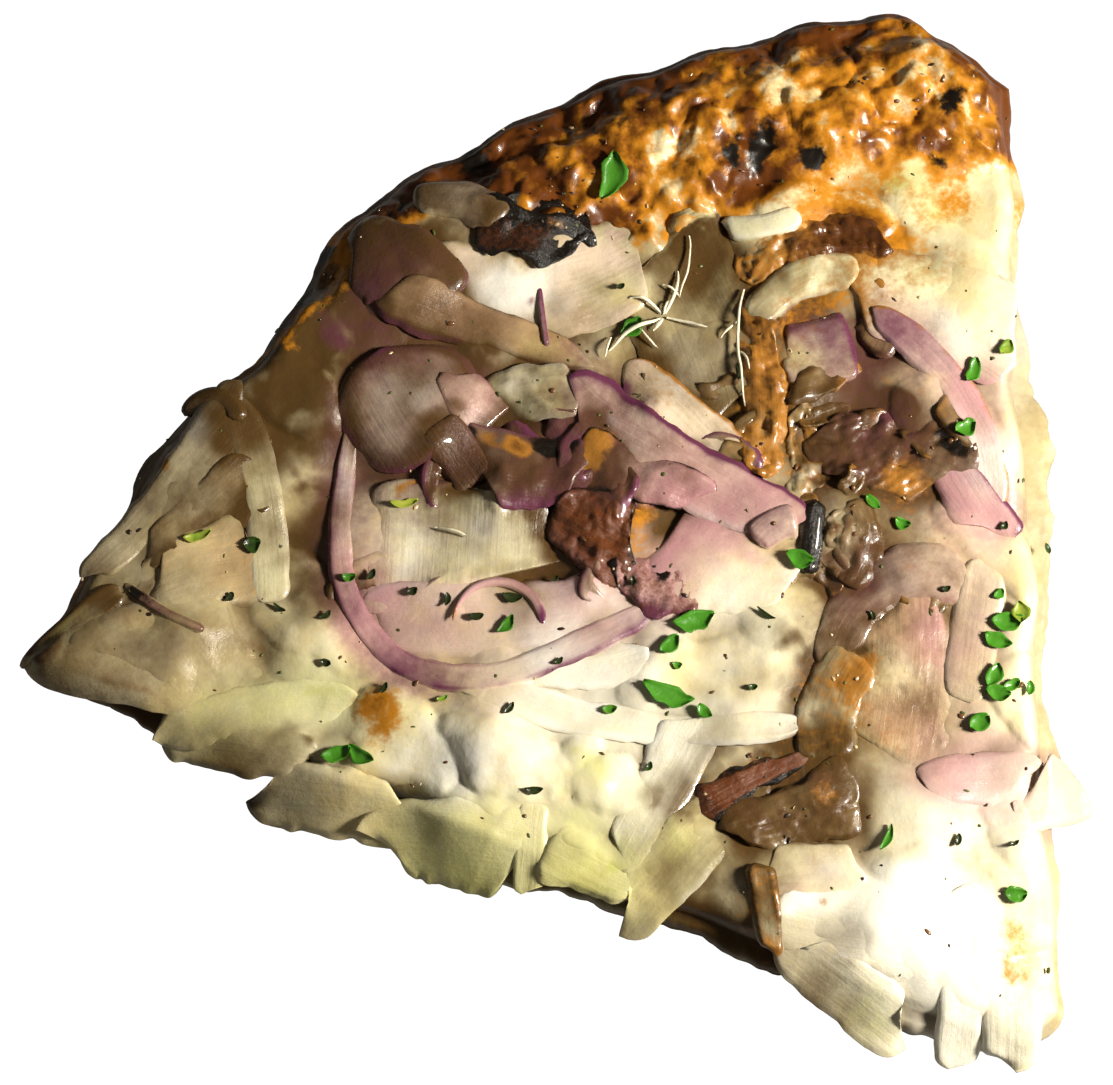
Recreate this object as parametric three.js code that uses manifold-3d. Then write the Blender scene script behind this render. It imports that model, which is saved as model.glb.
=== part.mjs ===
// A slice of fugazzeta, the thick pizza topped with melted cheese and onion.
// One wedge of baked dough carries one layer of cheese that runs through to both
// cuts and browns along the rim, and on it lie slices, rings and charred pieces
// of onion. Millimetres, +Z up, tip towards -Y and rim towards +Y. The origin is
// on the flat underside, on the centre line, TIP_TO_ORIGIN from the tip.
import * as THREE from "three";
import Module from "manifold-3d";
import { mergeVertices } from "three/addons/utils/BufferGeometryUtils.js";

const wasm = await Module();
wasm.setup();

// ---- Driving dimensions ---------------------------------------------------
const SLICE_RADIUS = 160;
const HALF_ANGLE = 34; // degrees from the centre line to each cut
const TIP_TO_ORIGIN = 100;
const TIP_ROUND = 9; // centre of the tip's rounding, measured from the point
const DOUGH_THICK = 9;
const RIM_RISE = 5; // how much the dough rises under the browned edge
const RIM_WIDTH = 20;
const CHEESE_THICK = 7.5;
const CHEESE_LIP = 1.8; // how far the cheese runs out past the dough
const LIP_THICK = 2.2;
const CLEARANCE = 0.3; // gap kept between touching pieces
const WEDGE_STEPS = { out: 22, across: 20 };
const LAYER_STEP = 3.8; // longest mesh step on an onion layer
const LAYER_THICK = 0.9;
const LINE_STEPS = 12; // steps in which a layer's middle line is added up

const radians = THREE.MathUtils.degToRad;
const lerp = THREE.MathUtils.lerp;
const ease = THREE.MathUtils.smoothstep;
const hill = (x, middle, spread) => Math.exp(-(((x - middle) / spread) ** 2));

// ---- Plan of the wedge ----------------------------------------------------
// turn is the angle from the centre line in degrees, positive towards -X.
const cornerTrim = (turn) => 15 * ease(-turn, HALF_ANGLE - 7, HALF_ANGLE + 1) ** 1.5;
const rimWander = (turn) =>
  0.9 * Math.sin(turn * 0.42) +
  0.5 * Math.sin(turn * 1.1 + 2) -
  0.11 * turn +
  3.8 * hill(turn, -1, 9) +
  1.8 * hill(turn, -19, 5) -
  3 * hill(turn, 14, 4);
const onRim = (turn) => THREE.MathUtils.clamp(turn, -HALF_ANGLE, HALF_ANGLE);
const rimRadius = (turn) => SLICE_RADIUS - 0.7 - cornerTrim(turn) + rimWander(turn);

// The tip is a round: the distance from the point at which it begins, along a turn.
function tipRadius(turn) {
  const round = TIP_ROUND * Math.sin(radians(HALF_ANGLE));
  const aside = TIP_ROUND * Math.sin(radians(turn));
  return TIP_ROUND * Math.cos(radians(turn)) - Math.sqrt(Math.max(0, round ** 2 - aside ** 2));
}

// How far a cut runs outside its straight line, at a distance from the tip.
const cutWander = (far) => 0.5 + 0.6 * Math.sin(far * 0.11) + 0.4 * Math.sin(far * 0.29 + 1);

// How far cheese and filling bulge out over each cut.
const leftLip = (far) =>
  CHEESE_LIP + 0.9 + 3.6 * hill(far, 88, 12) + 2.6 * hill(far, 30, 10) - 1.2 * hill(far, 5, 6);
const rightLip = (far) =>
  CHEESE_LIP +
  5.4 * hill(far, 91, 13) +
  1.6 * hill(far, 40, 9) -
  1.2 * hill(far, 15, 12) -
  1.2 * hill(far, 115, 9);

// A point of the plan: out runs 0 to 1 from tip to rim, across -1 to 1 from the right
// cut to the left one. Steps are closer near both cuts, where the rim turns in.
function planPoint(out, across) {
  const side = lerp(across, Math.sin((across * Math.PI) / 2), 0.5);
  const turn = side * HALF_ANGLE;
  const far = lerp(tipRadius(turn), rimRadius(turn), out);
  const heading = radians(90 + turn);
  const spread = Math.abs(side) ** 3 * cutWander(far) * Math.sign(side);
  return new THREE.Vector2(
    Math.cos(heading) * far - Math.sin(heading) * spread,
    Math.sin(heading) * far + Math.cos(heading) * spread,
  );
}

// ---- Heights ---------------------------------------------------------------
const doughBumps = (x, y) => 0.35 * Math.sin(x * 0.23 + 1) * Math.sin(y * 0.19);
function doughTop(x, y) {
  const far = Math.hypot(x, y);
  const rim = ease(far, SLICE_RADIUS - RIM_WIDTH - 8, SLICE_RADIUS - 6);
  const crown = RIM_RISE * rim - 3.2 * ease(far, SLICE_RADIUS - 7, SLICE_RADIUS);
  return DOUGH_THICK - 1.5 * (1 - ease(far, 0, 40)) + crown + doughBumps(x, y);
}

// Mounds of cheese: place, reach and height.
const MOUNDS = [
  { x: -41, y: 80, reach: 12, rise: 2.2 },
  { x: -50, y: 70, reach: 9, rise: 1.4 },
  { x: 4, y: 70, reach: 12, rise: -1.2 },
  { x: 62, y: 88, reach: 13, rise: 1.6 },
  { x: 2, y: 28, reach: 12, rise: 1.6 },
  { x: 40, y: 140, reach: 14, rise: 1.6 },
  { x: -74, y: 118, reach: 14, rise: 1.2 },
  { x: 22, y: 122, reach: 9, rise: -1.5 },
];
const cheeseBumps = (x, y) =>
  0.55 * Math.sin(x * 0.31 + y * 0.17) + 0.45 * Math.sin(x * 0.19 - y * 0.37 + 2);
const searedLumps = (x, y) =>
  0.9 * Math.sin(x * 0.43 + 1) * Math.sin(y * 0.41) + 0.5 * Math.sin(x * 0.27 + y * 0.49);
function cheeseTop(x, y) {
  const far = Math.hypot(x, y);
  const mounds = MOUNDS.reduce(
    (sum, m) => sum + m.rise * Math.exp(-((x - m.x) ** 2 + (y - m.y) ** 2) / m.reach ** 2),
    0,
  );
  const thin = 2.2 * (1 - ease(far, 0, 45));
  const rim = ease(far, SLICE_RADIUS - RIM_WIDTH, SLICE_RADIUS - 6);
  const surface = lerp(cheeseBumps(x, y), searedLumps(x, y) - 1.6, rim);
  return doughTop(x, y) + CHEESE_THICK - thin + mounds + surface;
}

// ---- Closed solids ----------------------------------------------------------
function geometryFrom(points, triangles) {
  const geometry = new THREE.BufferGeometry();
  geometry.setAttribute("position", new THREE.Float32BufferAttribute(points.flat(), 3));
  geometry.setIndex(triangles.flat());
  return geometry;
}

// The loop of grid places round the outside of a grid, anticlockwise from above.
function boundary(rows, columns) {
  const loop = [];
  for (let i = 0; i < rows; i++) loop.push([i, 0]);
  for (let j = 0; j < columns; j++) loop.push([rows, j]);
  for (let i = rows; i > 0; i--) loop.push([i, columns]);
  for (let j = columns; j > 0; j--) loop.push([0, j]);
  return loop;
}

// A slab between top(i, j) and bottom(i, j) over a grid. A flat underside is
// triangulated as one outline, and belly pushes the middle of the wall outwards.
function slab({ rows, columns, top, bottom, flat = false, belly = 0 }) {
  const points = [];
  const triangles = [];
  const at = (i, j) => i * (columns + 1) + j;
  const addGrid = (place) => {
    const first = points.length;
    for (let i = 0; i <= rows; i++) for (let j = 0; j <= columns; j++) points.push(place(i, j));
    return first;
  };
  const addFaces = (first, up) => {
    for (let i = 0; i < rows; i++)
      for (let j = 0; j < columns; j++) {
        const [a, b, c, d] = [at(i, j), at(i + 1, j), at(i + 1, j + 1), at(i, j + 1)].map(
          (k) => k + first,
        );
        triangles.push(...(up ? [[a, b, c], [a, c, d]] : [[a, c, b], [a, d, c]]));
      }
  };
  const topFirst = addGrid(top);
  addFaces(topFirst, true);
  const loop = boundary(rows, columns);
  const rings = [loop.map(([i, j]) => topFirst + at(i, j))];
  if (belly) {
    rings.push(
      loop.map(([i, j], k) => {
        const [next, last] = [loop[(k + 1) % loop.length], loop.at(k - 1)].map((g) => top(...g));
        const along = new THREE.Vector2(next[0] - last[0], next[1] - last[1]).normalize();
        const [high, low] = [top(i, j), bottom(i, j)];
        const middle = high.map((value, axis) => lerp(value, low[axis], 0.5));
        points.push([middle[0] + along.y * belly, middle[1] - along.x * belly, middle[2]]);
        return points.length - 1;
      }),
    );
  }
  if (flat) {
    const first = points.length;
    loop.forEach(([i, j]) => points.push(bottom(i, j)));
    rings.push(loop.map((_, k) => first + k));
    const outline = loop.map((_, k) => new THREE.Vector2(...points[first + k]));
    for (const [a, b, c] of THREE.ShapeUtils.triangulateShape(outline, []))
      triangles.push([first + a, first + c, first + b]);
  } else {
    const first = addGrid(bottom);
    addFaces(first, false);
    rings.push(loop.map(([i, j]) => first + at(i, j)));
  }
  for (let r = 0; r + 1 < rings.length; r++)
    rings[r].forEach((a, k) => {
      const next = k + 1 - loop.length;
      const [b, c, d] = [rings[r + 1][k], rings[r + 1].at(next), rings[r].at(next)];
      triangles.push([a, b, c], [a, c, d]);
    });
  return geometryFrom(points, triangles);
}

const toSolid = (geometry) => {
  const merged = mergeVertices(geometry, 1e-4);
  return new wasm.Manifold(
    new wasm.Mesh({
      numProp: 3,
      vertProperties: merged.attributes.position.array,
      triVerts: new Uint32Array(merged.index.array),
    }),
  );
};

// ---- Dough and cheese --------------------------------------------------------
function doughGeometry() {
  const { out: rows, across: columns } = WEDGE_STEPS;
  const plan = (i, j) => planPoint(i / rows, (2 * j) / columns - 1);
  return slab({
    rows,
    columns,
    flat: true,
    belly: 1.1,
    top: (i, j) => {
      const p = plan(i, j);
      return [p.x, p.y, doughTop(p.x, p.y)];
    },
    bottom: (i, j) => {
      const p = plan(i, j);
      const inset = 1 - 1.2 / p.length();
      return [p.x * inset, p.y * inset, 0];
    },
  });
}

// The cheese follows the dough's own grid, so the two never meet, and has one
// more ring of points that hangs out past the dough's edge.
function cheeseGeometry() {
  const rows = WEDGE_STEPS.out + 2;
  const columns = WEDGE_STEPS.across + 2;
  const inner = (k, steps) => THREE.MathUtils.clamp((k - 1) / (steps - 2), 0, 1);
  const place = (i, j) => {
    const p = planPoint(inner(i, rows), 2 * inner(j, columns) - 1);
    const far = p.length();
    const edge = p.clone();
    const outward = p.clone().normalize();
    if (j === 0) p.add(new THREE.Vector2(outward.y, -outward.x).multiplyScalar(rightLip(far)));
    if (j === columns) p.add(new THREE.Vector2(-outward.y, outward.x).multiplyScalar(leftLip(far)));
    if (i === rows) p.addScaledVector(outward, CHEESE_LIP * 0.8);
    if (i === 0) p.add(new THREE.Vector2(0, -CHEESE_LIP));
    return { p, edge, lip: i === 0 || j === 0 || i === rows || j === columns };
  };
  const under = (edge) => doughTop(edge.x, edge.y) + CLEARANCE;
  return slab({
    rows,
    columns,
    top: (i, j) => {
      const { p, edge, lip } = place(i, j);
      return [p.x, p.y, lip ? under(edge) + LIP_THICK : cheeseTop(p.x, p.y)];
    },
    bottom: (i, j) => {
      const { p, edge } = place(i, j);
      return [p.x, p.y, under(edge)];
    },
  });
}

// ---- Relief: the height of what lies on the slice so far ---------------------
const relief = {
  cell: 1,
  heights: new Map(),
  key: (x, y) => Math.round(x) * 1000 + Math.round(y),
  // Where nothing lies yet it is the cheese, and past the edge it falls away.
  ground(x, y) {
    const far = Math.hypot(x, y);
    const turn = THREE.MathUtils.radToDeg(Math.atan2(-x, y));
    const pastRim = Math.max(0, far - rimRadius(onRim(turn)));
    const pastCut = Math.max(0, far * Math.sin(radians(Math.abs(turn) - HALF_ANGLE)));
    return cheeseTop(x, y) - Math.min(9, 0.9 * (pastRim + pastCut));
  },
  at(x, y) {
    return this.heights.get(this.key(x, y)) ?? this.ground(x, y);
  },
  highest(x, y, radius) {
    let best = this.at(x, y);
    for (let dx = -radius; dx <= radius; dx += this.cell)
      for (let dy = -radius; dy <= radius; dy += this.cell)
        best = Math.max(best, this.at(x + dx, y + dy));
    return best;
  },
  add(x, y, z) {
    this.heights.set(this.key(x, y), Math.max(z, this.at(x, y)));
  },
};

// ---- Onion -------------------------------------------------------------------
// How wide a piece is along its length, t from -1 to 1: blunt is the width left at
// both ends, and ends makes it narrower or wider towards its start and its end.
const relativeWidth = (t, blunt, ends) =>
  (blunt + (1 - blunt) * Math.sqrt(1 - Math.abs(t) ** 3)) * lerp(...ends, (t + 1) / 2);

// A point of the middle line and its direction there. The line turns through bend
// degrees over its length, and mostly at its middle where corner is large.
function middleLine({ at, heading, length, bend, corner = 0.05 }, t) {
  const direction = (u) =>
    radians(heading + ((bend / 2) * Math.tanh(corner * u)) / Math.tanh(corner));
  const step = (t * length) / 2 / LINE_STEPS;
  let [x, y] = at;
  for (let k = 0; k < LINE_STEPS; k++) {
    const here = direction((t * (k + 0.5)) / LINE_STEPS);
    x += Math.cos(here) * step;
    y += Math.sin(here) * step;
  }
  return { x, y, facing: direction(t) };
}

// One piece of onion: a curved strip. Its back arches up, or dishes when arch is
// negative, and tilt raises its left side, or its right side when it is negative.
// It is laid over whatever is under it.
function onionLayer(shape) {
  const { length, width, arch, tilt = 0, blunt = 0.6, ends = [1, 1] } = shape;
  const rows = Math.max(4, Math.round(length / LAYER_STEP));
  const columns = Math.max(2, Math.round(width / LAYER_STEP));
  const plan = (t, v) => {
    const { x, y, facing } = middleLine(shape, t);
    const offset = (v * width * relativeWidth(t, blunt, ends)) / 2;
    return [x - Math.sin(facing) * offset, y + Math.cos(facing) * offset];
  };
  const own = (t, v) => {
    const back = (arch > 0 ? arch * (1 - v * v) : -arch * v * v) * (1 - 0.4 * t * t);
    return back + (Math.max(0, tilt) * (1 + v)) / 2 + (Math.max(0, -tilt) * (1 - v)) / 2;
  };
  const grid = (make) => (i, j) => make((2 * i) / rows - 1, (2 * j) / columns - 1);
  const under = (t, v) => {
    const [x, y] = plan(t, v);
    return [x, y, relief.highest(x, y, relief.cell) + CLEARANCE + own(t, v)];
  };
  return slab({
    rows,
    columns,
    bottom: grid(under),
    top: grid((t, v) => {
      const [x, y, z] = under(t, v);
      return [x, y, z + LAYER_THICK * (0.5 + 0.5 * (1 - v ** 4) * (1 - t ** 6))];
    }),
  });
}

// Marks the top of a piece on the relief, at a point for each millimetre.
function mark(geometry) {
  const p = geometry.attributes.position;
  const index = geometry.index.array;
  const corner = (k) => new THREE.Vector3().fromBufferAttribute(p, index[k]);
  for (let k = 0; k < index.length; k += 3) {
    const [a, b, c] = [corner(k), corner(k + 1), corner(k + 2)];
    const steps = Math.ceil(Math.max(a.distanceTo(b), b.distanceTo(c), c.distanceTo(a)) * 1.5);
    for (let i = 0; i <= steps; i++)
      for (let j = 0; j <= steps - i; j++) {
        const q = a
          .clone()
          .multiplyScalar(1 - (i + j) / steps)
          .addScaledVector(b, i / steps)
          .addScaledVector(c, j / steps);
        relief.add(q.x, q.y, q.z);
      }
  }
}

// Raises a piece until it clears everything laid before it by CLEARANCE.
const RAISE = 0.2;
const MOST_RAISES = 60;
function settle(geometry, laid) {
  for (let raised = 0; raised < MOST_RAISES; raised++) {
    geometry.computeBoundingBox();
    const near = laid.filter((other) => other.box.intersectsBox(geometry.boundingBox));
    const lowered = toSolid(geometry).translate([0, 0, -CLEARANCE]);
    if (near.every((other) => lowered.intersect(other.solid).volume() < 1e-4)) break;
    geometry.translate(0, 0, RAISE);
  }
  return { solid: toSolid(geometry), box: geometry.boundingBox.clone() };
}

// Where each piece lies, from the tip: at is the middle of its middle line, heading
// the direction of its length from +X in degrees. Lower pieces come first.
const ONIONS = [
  // The left corner, where the slice is thin and brown
  { name: "onion_corner_slice", at: [-74.5, 120.7], heading: -33, length: 31.9,
    width: 24, bend: 0, ends: [0.35, 1], arch: 0.8 },
  { name: "onion_corner_grey", at: [-58.3, 139], heading: -163, length: 34.9,
    width: 8.8, bend: -14, ends: [1, 0.55], arch: 0.1, tilt: -0.5 },
  { name: "onion_corner_tan", at: [-56.6, 134], heading: -175, length: 19.6,
    width: 9.4, bend: -10, ends: [1, 0.71], arch: 0.2 },
  { name: "onion_corner_gold", at: [-60.1, 127.1], heading: -17, length: 15.7,
    width: 14, bend: -18, ends: [0.76, 1], arch: 0.3 },
  { name: "onion_corner_fold", at: [-81.6, 130.2], heading: 2, length: 18.4,
    width: 4.6, bend: 0, ends: [0.47, 1], arch: -0.2 },
  // The lower left edge, pale and greenish, and the olive panel above the middle
  { name: "onion_low_grey", at: [-70.6, 102.1], heading: -45, length: 20.3,
    width: 8.5, bend: 0, ends: [0.61, 1], arch: 0.1 },
  { name: "onion_low_tan", at: [-64, 88.2], heading: -44, length: 23,
    width: 9.7, bend: 0, ends: [0.78, 1], arch: 0.1, blunt: 0.3 },
  { name: "onion_green_strip", at: [-66, 106], heading: -25, length: 30,
    width: 7, bend: -41, arch: 0.2, blunt: 0.3 },
  { name: "onion_green_lump", at: [-53, 73.3], heading: -41, length: 23,
    width: 13, bend: -10, ends: [0.78, 1], arch: 0.4 },
  { name: "onion_green_side", at: [-39, 58.6], heading: -60, length: 15.2,
    width: 9.1, bend: 0, ends: [1, 0.67], arch: 0.2 },
  { name: "onion_olive_panel", at: [22, 118], heading: -105, length: 29,
    width: 19, bend: -20, arch: -0.2, blunt: 0.8 },
  // The tip, and the peach piece that lies lowest on the right
  { name: "onion_white_low", at: [-11.9, 30.3], heading: -45, length: 27.6,
    width: 14.4, bend: 0, ends: [0.74, 1], arch: 0.5 },
  { name: "onion_fold_low", at: [-19.1, 24.1], heading: -70, length: 19.5,
    width: 9.1, bend: 0, ends: [0.77, 1], arch: 0.2 },
  { name: "onion_tip_strip", at: [-4, 16.9], heading: -128, length: 25.9,
    width: 6.7, bend: 0, ends: [0.91, 1], arch: 0.1, blunt: 0.8 },
  { name: "onion_tip_side", at: [-2.9, 7.1], heading: -126, length: 10.9,
    width: 8.2, bend: 0, ends: [1, 0.85], arch: 0.3 },
  { name: "onion_peach_right", at: [52.7, 99.7], heading: -55, length: 26.4,
    width: 16.7, bend: -30, ends: [0.82, 1], arch: 0.1 },
  // The long pale crescents and strips
  { name: "onion_crescent", at: [-23.6, 73.4], heading: -43, length: 53.2,
    width: 5.2, bend: 36, arch: 0.1, tilt: -0.4 },
  { name: "onion_ivory_inner", at: [-25.9, 87.4], heading: -31, length: 22.1,
    width: 12.2, bend: 30, ends: [0.5, 1], arch: 0.2 },
  { name: "onion_left_strip", at: [-48, 131.1], heading: -114, length: 31.1,
    width: 5.2, bend: -22, arch: 0.1, blunt: 0.8 },
  { name: "onion_strip_low", at: [-44.6, 66.1], heading: -129, length: 12.5,
    width: 4, bend: 0, arch: 0.1, blunt: 0.8 },
  { name: "onion_diagonal_a", at: [-24.4, 62.8], heading: -154, length: 24.3,
    width: 8.5, bend: 0, ends: [1, 0.75], arch: 0.1 },
  { name: "onion_diagonal_b", at: [-26.3, 53.6], heading: -168, length: 25.5,
    width: 10, bend: 0, ends: [0.76, 1], arch: 0.1 },
  // Red onion in the middle: the big ring and what it holds
  { name: "onion_ring_floor", at: [-27.3, 110.1], heading: -127, length: 16.8,
    width: 30.4, bend: 0, ends: [0.75, 1], arch: 0.2, blunt: 0.8 },
  { name: "onion_ring_lower", at: [-28, 95.8], heading: -32, length: 41.6,
    width: 11.9, bend: 26, ends: [1, 0.72], arch: 0.1 },
  { name: "onion_pink_middle", at: [4.6, 85.2], heading: -40, length: 23.1,
    width: 18.2, bend: 0, ends: [0.92, 1], arch: 0.3 },
  { name: "onion_ring_big", at: [-44.9, 99.8], heading: -68, length: 84,
    width: 4.6, bend: 131, ends: [0.7, 1], corner: 2.2, arch: 0.1 },
  { name: "onion_ring_small", at: [-26, 101], heading: -38, length: 20,
    width: 2.4, bend: -178, ends: [0.4, 1.3], arch: 0.2 },
  // Red onion above the ring
  { name: "onion_petal_top", at: [2.4, 137.2], heading: -29, length: 39,
    width: 15, bend: 60, arch: 0.4, blunt: 0.8 },
  { name: "onion_lobe_top_left", at: [-11, 150], heading: -70, length: 17,
    width: 13, bend: -37, arch: 0.9 },
  { name: "onion_tan_strip", at: [-5, 135.2], heading: -51, length: 32.7,
    width: 9.4, bend: 0, ends: [1, 0.46], arch: 0.2 },
  { name: "onion_white_middle", at: [-6.1, 122.9], heading: -26, length: 15.1,
    width: 8.5, bend: 0, ends: [0.89, 1], arch: 0.3 },
  { name: "onion_lobe_purple", at: [-20.9, 131.5], heading: -94, length: 18.5,
    width: 19.5, bend: 16, arch: 3.3, blunt: 0.3 },
  { name: "onion_lobe_pink", at: [-14, 126.6], heading: -91, length: 9.8,
    width: 8.5, bend: 0, ends: [0.71, 1], arch: 0.2, blunt: 0.8 },
  { name: "onion_peach", at: [8.9, 105.5], heading: -82, length: 24.3,
    width: 14.6, bend: 0, ends: [0.62, 1], arch: 0.2 },
  { name: "onion_mauve_long", at: [5.7, 100.4], heading: -66, length: 39.1,
    width: 10, bend: 18, ends: [1, 0.79], arch: 0.1, tilt: 0.6 },
  { name: "onion_mauve_petal", at: [34.1, 104.3], heading: -24, length: 10.7,
    width: 10.6, bend: 0, ends: [0.89, 1], arch: 0.2, blunt: 0.8 },
  { name: "onion_ring_right", at: [46.9, 86.4], heading: -96, length: 36.8,
    width: 5.2, bend: -62, ends: [1, 0.88], arch: 0.1 },
  { name: "onion_mauve_right", at: [38.7, 73.2], heading: -95, length: 13.2,
    width: 9.1, bend: 0, ends: [0.5, 1], arch: 0.3, blunt: 0.8 },
  // Folded and browned pieces on the right
  { name: "onion_tan_low", at: [13.4, 57.7], heading: -131, length: 24.7,
    width: 19.5, bend: -14, ends: [0.75, 1], arch: 0.2 },
  { name: "onion_fold_grey", at: [19.7, 68.8], heading: -4, length: 27.5,
    width: 8.5, bend: -108, ends: [0.86, 1], arch: 0.4 },
  { name: "onion_fold_side", at: [26.7, 55.6], heading: -135, length: 21.6,
    width: 6.7, bend: 0, ends: [1, 0.91], arch: 0.1 },
  { name: "onion_pink_right", at: [13.6, 37.8], heading: -32, length: 16.9,
    width: 9.1, bend: 22, ends: [0.67, 1], arch: 0.2, blunt: 0.3 },
  { name: "onion_brown_tip", at: [22.7, 29.1], heading: -36, length: 10.4,
    width: 12.8, bend: 0, ends: [1, 0.35], arch: 0.1 },
  { name: "onion_clear_blob", at: [-13.4, 40.6], heading: -33, length: 13.8,
    width: 8.5, bend: 0, ends: [1, 0.89], arch: 0.2, blunt: 0.8 },
  { name: "onion_white_chunk", at: [22.6, 92.5], heading: -120, length: 14.5,
    width: 6.7, bend: 0, ends: [0.77, 1], arch: 0.3 },
  { name: "onion_brown_ridge", at: [24, 104], heading: -125, length: 30,
    width: 5.5, bend: -20, arch: 0.3 },
  { name: "onion_brown_arch", at: [43.2, 119.3], heading: -20, length: 24,
    width: 7.6, bend: -70, arch: 0.3 },
  { name: "onion_white_bean", at: [38.6, 124.9], heading: -27, length: 11.9,
    width: 4, bend: 50, ends: [1, 0.92], arch: 0.4 },
  { name: "onion_brown_hang", at: [-22.2, 39.7], heading: -117, length: 12.7,
    width: 4, bend: 0, ends: [1, 0.85], arch: 0.2 },
  // Charred pieces, on top
  { name: "charred_middle", at: [-12.8, 112.8], heading: -35, length: 15.6,
    width: 12.8, bend: 0, ends: [1, 0.71], arch: 0.1, tilt: 0.4, blunt: 0.8 },
  { name: "charred_band", at: [0.3, 103.1], heading: -53, length: 20.2,
    width: 8.5, bend: 0, ends: [1, 0.68], arch: 0.1, blunt: 0.8 },
  { name: "charred_lump", at: [-10.4, 100], heading: -63, length: 13.3,
    width: 11.6, bend: 0, ends: [0.79, 1], arch: 0.9 },
  { name: "charred_red", at: [-7.7, 87.5], heading: -49, length: 13.6,
    width: 7, bend: 14, ends: [0.74, 1], arch: 0.2 },
  { name: "charred_purple", at: [32.8, 85.9], heading: -53, length: 21.8,
    width: 14, bend: -20, ends: [0.65, 1], arch: 0.3 },
  { name: "charred_top_strip", at: [10, 145], heading: -46, length: 20,
    width: 4.4, bend: -14, arch: 0.1, tilt: 0.6 },
  { name: "charred_top_tuft", at: [9.6, 143.4], heading: -46, length: 15,
    width: 7, bend: 10, arch: 0.1 },
  { name: "charred_low_strip", at: [-12.7, 55.8], heading: -7, length: 18.6,
    width: 4.6, bend: 0, arch: 0.2 },
  { name: "charred_low_petal", at: [-10.9, 48.2], heading: -19, length: 19.6,
    width: 11.6, bend: 0, ends: [0.58, 1], arch: 0.3 },
];

// ---- Colours -------------------------------------------------------------------
const COLOURS = {
  dough: "#c9975a",
  cheese: "#e8d9ae",
  charred: "#4a2a1c",
  pale: "#dfd6bd",
  red: "#b98a98",
  browned: "#9a6c3c",
};
const finishOf = (name) => {
  if (name.startsWith("charred")) return "charred";
  if (/brown|tan|gold/.test(name)) return "browned";
  return /ring|mauve|pink|lobe|petal|peach/.test(name) ? "red" : "pale";
};
const material = (finish) =>
  new THREE.MeshStandardMaterial({
    color: COLOURS[finish],
    roughness: finish === "dough" ? 0.8 : 0.35,
    metalness: 0,
  });

// ---- The slice -------------------------------------------------------------------
const slice = new THREE.Group();
const laid = [];
function lay(name, geometry, finish) {
  const piece = new THREE.Mesh(geometry, material(finish));
  piece.name = name;
  slice.add(piece);
}

for (const [name, geometry] of [["dough", doughGeometry()], ["cheese", cheeseGeometry()]]) {
  geometry.computeBoundingBox();
  laid.push({ solid: toSolid(geometry), box: geometry.boundingBox.clone() });
  if (name === "cheese") mark(geometry);
  lay(name, geometry, name);
}

for (const { name, ...shape } of ONIONS) {
  const geometry = onionLayer(shape);
  laid.push(settle(geometry, laid));
  mark(geometry);
  lay(name, geometry, finishOf(name));
}

slice.children.forEach((piece) => piece.position.set(0, -TIP_TO_ORIGIN, 0));

export default slice;
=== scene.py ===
# %% [markdown]
# # A slice of fugazzeta
# Fugazzeta is a thick pizza covered with melted cheese and onion. This lesson builds the
# looks of one slice around its packed construction: the dough, the cheese with its browned
# rim, and the slices, rings and charred bits of onion that lie on it. Everything soft is a
# surface given by a rule, so most of the work is numpy on grids of points, which Blender
# then shows as meshes. Lengths are millimetres here and become metres when a mesh is made.

import bpy
import math
import numpy as np
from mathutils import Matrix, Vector


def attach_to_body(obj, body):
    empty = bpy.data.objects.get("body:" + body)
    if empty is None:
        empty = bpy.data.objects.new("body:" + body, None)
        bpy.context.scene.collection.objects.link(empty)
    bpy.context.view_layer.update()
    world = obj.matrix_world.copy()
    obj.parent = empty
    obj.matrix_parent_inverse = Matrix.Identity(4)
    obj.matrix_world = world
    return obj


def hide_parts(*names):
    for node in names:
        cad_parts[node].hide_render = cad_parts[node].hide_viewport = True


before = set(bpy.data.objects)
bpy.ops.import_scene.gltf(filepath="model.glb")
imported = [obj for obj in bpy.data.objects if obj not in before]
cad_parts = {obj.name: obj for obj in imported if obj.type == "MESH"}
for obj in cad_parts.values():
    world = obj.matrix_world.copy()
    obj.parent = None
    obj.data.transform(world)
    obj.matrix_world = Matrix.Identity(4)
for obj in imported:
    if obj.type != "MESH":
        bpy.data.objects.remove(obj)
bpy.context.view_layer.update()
MM = 0.001
print("nodes in the frame:", len(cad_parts))

# %% [markdown]
# ## Small tools for soft shapes
# Nothing on baked food is regular, so every surface here is disturbed by noise. A lattice of
# random values, blended smoothly between its points, is enough, and it's quick on whole
# grids. Adding finer and finer copies of it gives lumps with smaller lumps on them.


# %% Noise and easing
def ease(value, low, high):
    """0 below low, 1 above high, and a smooth step between them."""
    t = np.clip((np.asarray(value, float) - low) / (high - low), 0, 1)
    return t * t * (3 - 2 * t)


def mix(a, b, amount):
    return a + (b - a) * amount


def hill(value, middle, spread):
    return np.exp(-(((value - middle) / spread) ** 2))


def spot(x, y, at_x, at_y, reach):
    """A round hill, 1 high in its middle."""
    return np.exp(-((x - at_x) ** 2 + (y - at_y) ** 2) / reach**2)


def polar(x, y):
    """How far a point is from the tip, and its turn in degrees to the left of +Y."""
    return np.hypot(x, y), np.degrees(np.arctan2(-x, y))


LATTICE = 64
FAR_OFF = 1000


def lattice_cells(x, y, size, shift=FAR_OFF):
    """Each point's place on a lattice of that size, and the cell it falls in. The shift
    keeps every place above 0."""
    gx = np.asarray(x, float) / size + shift
    gy = np.asarray(y, float) / size + shift
    return gx, gy, np.floor(gx).astype(int), np.floor(gy).astype(int)


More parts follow.
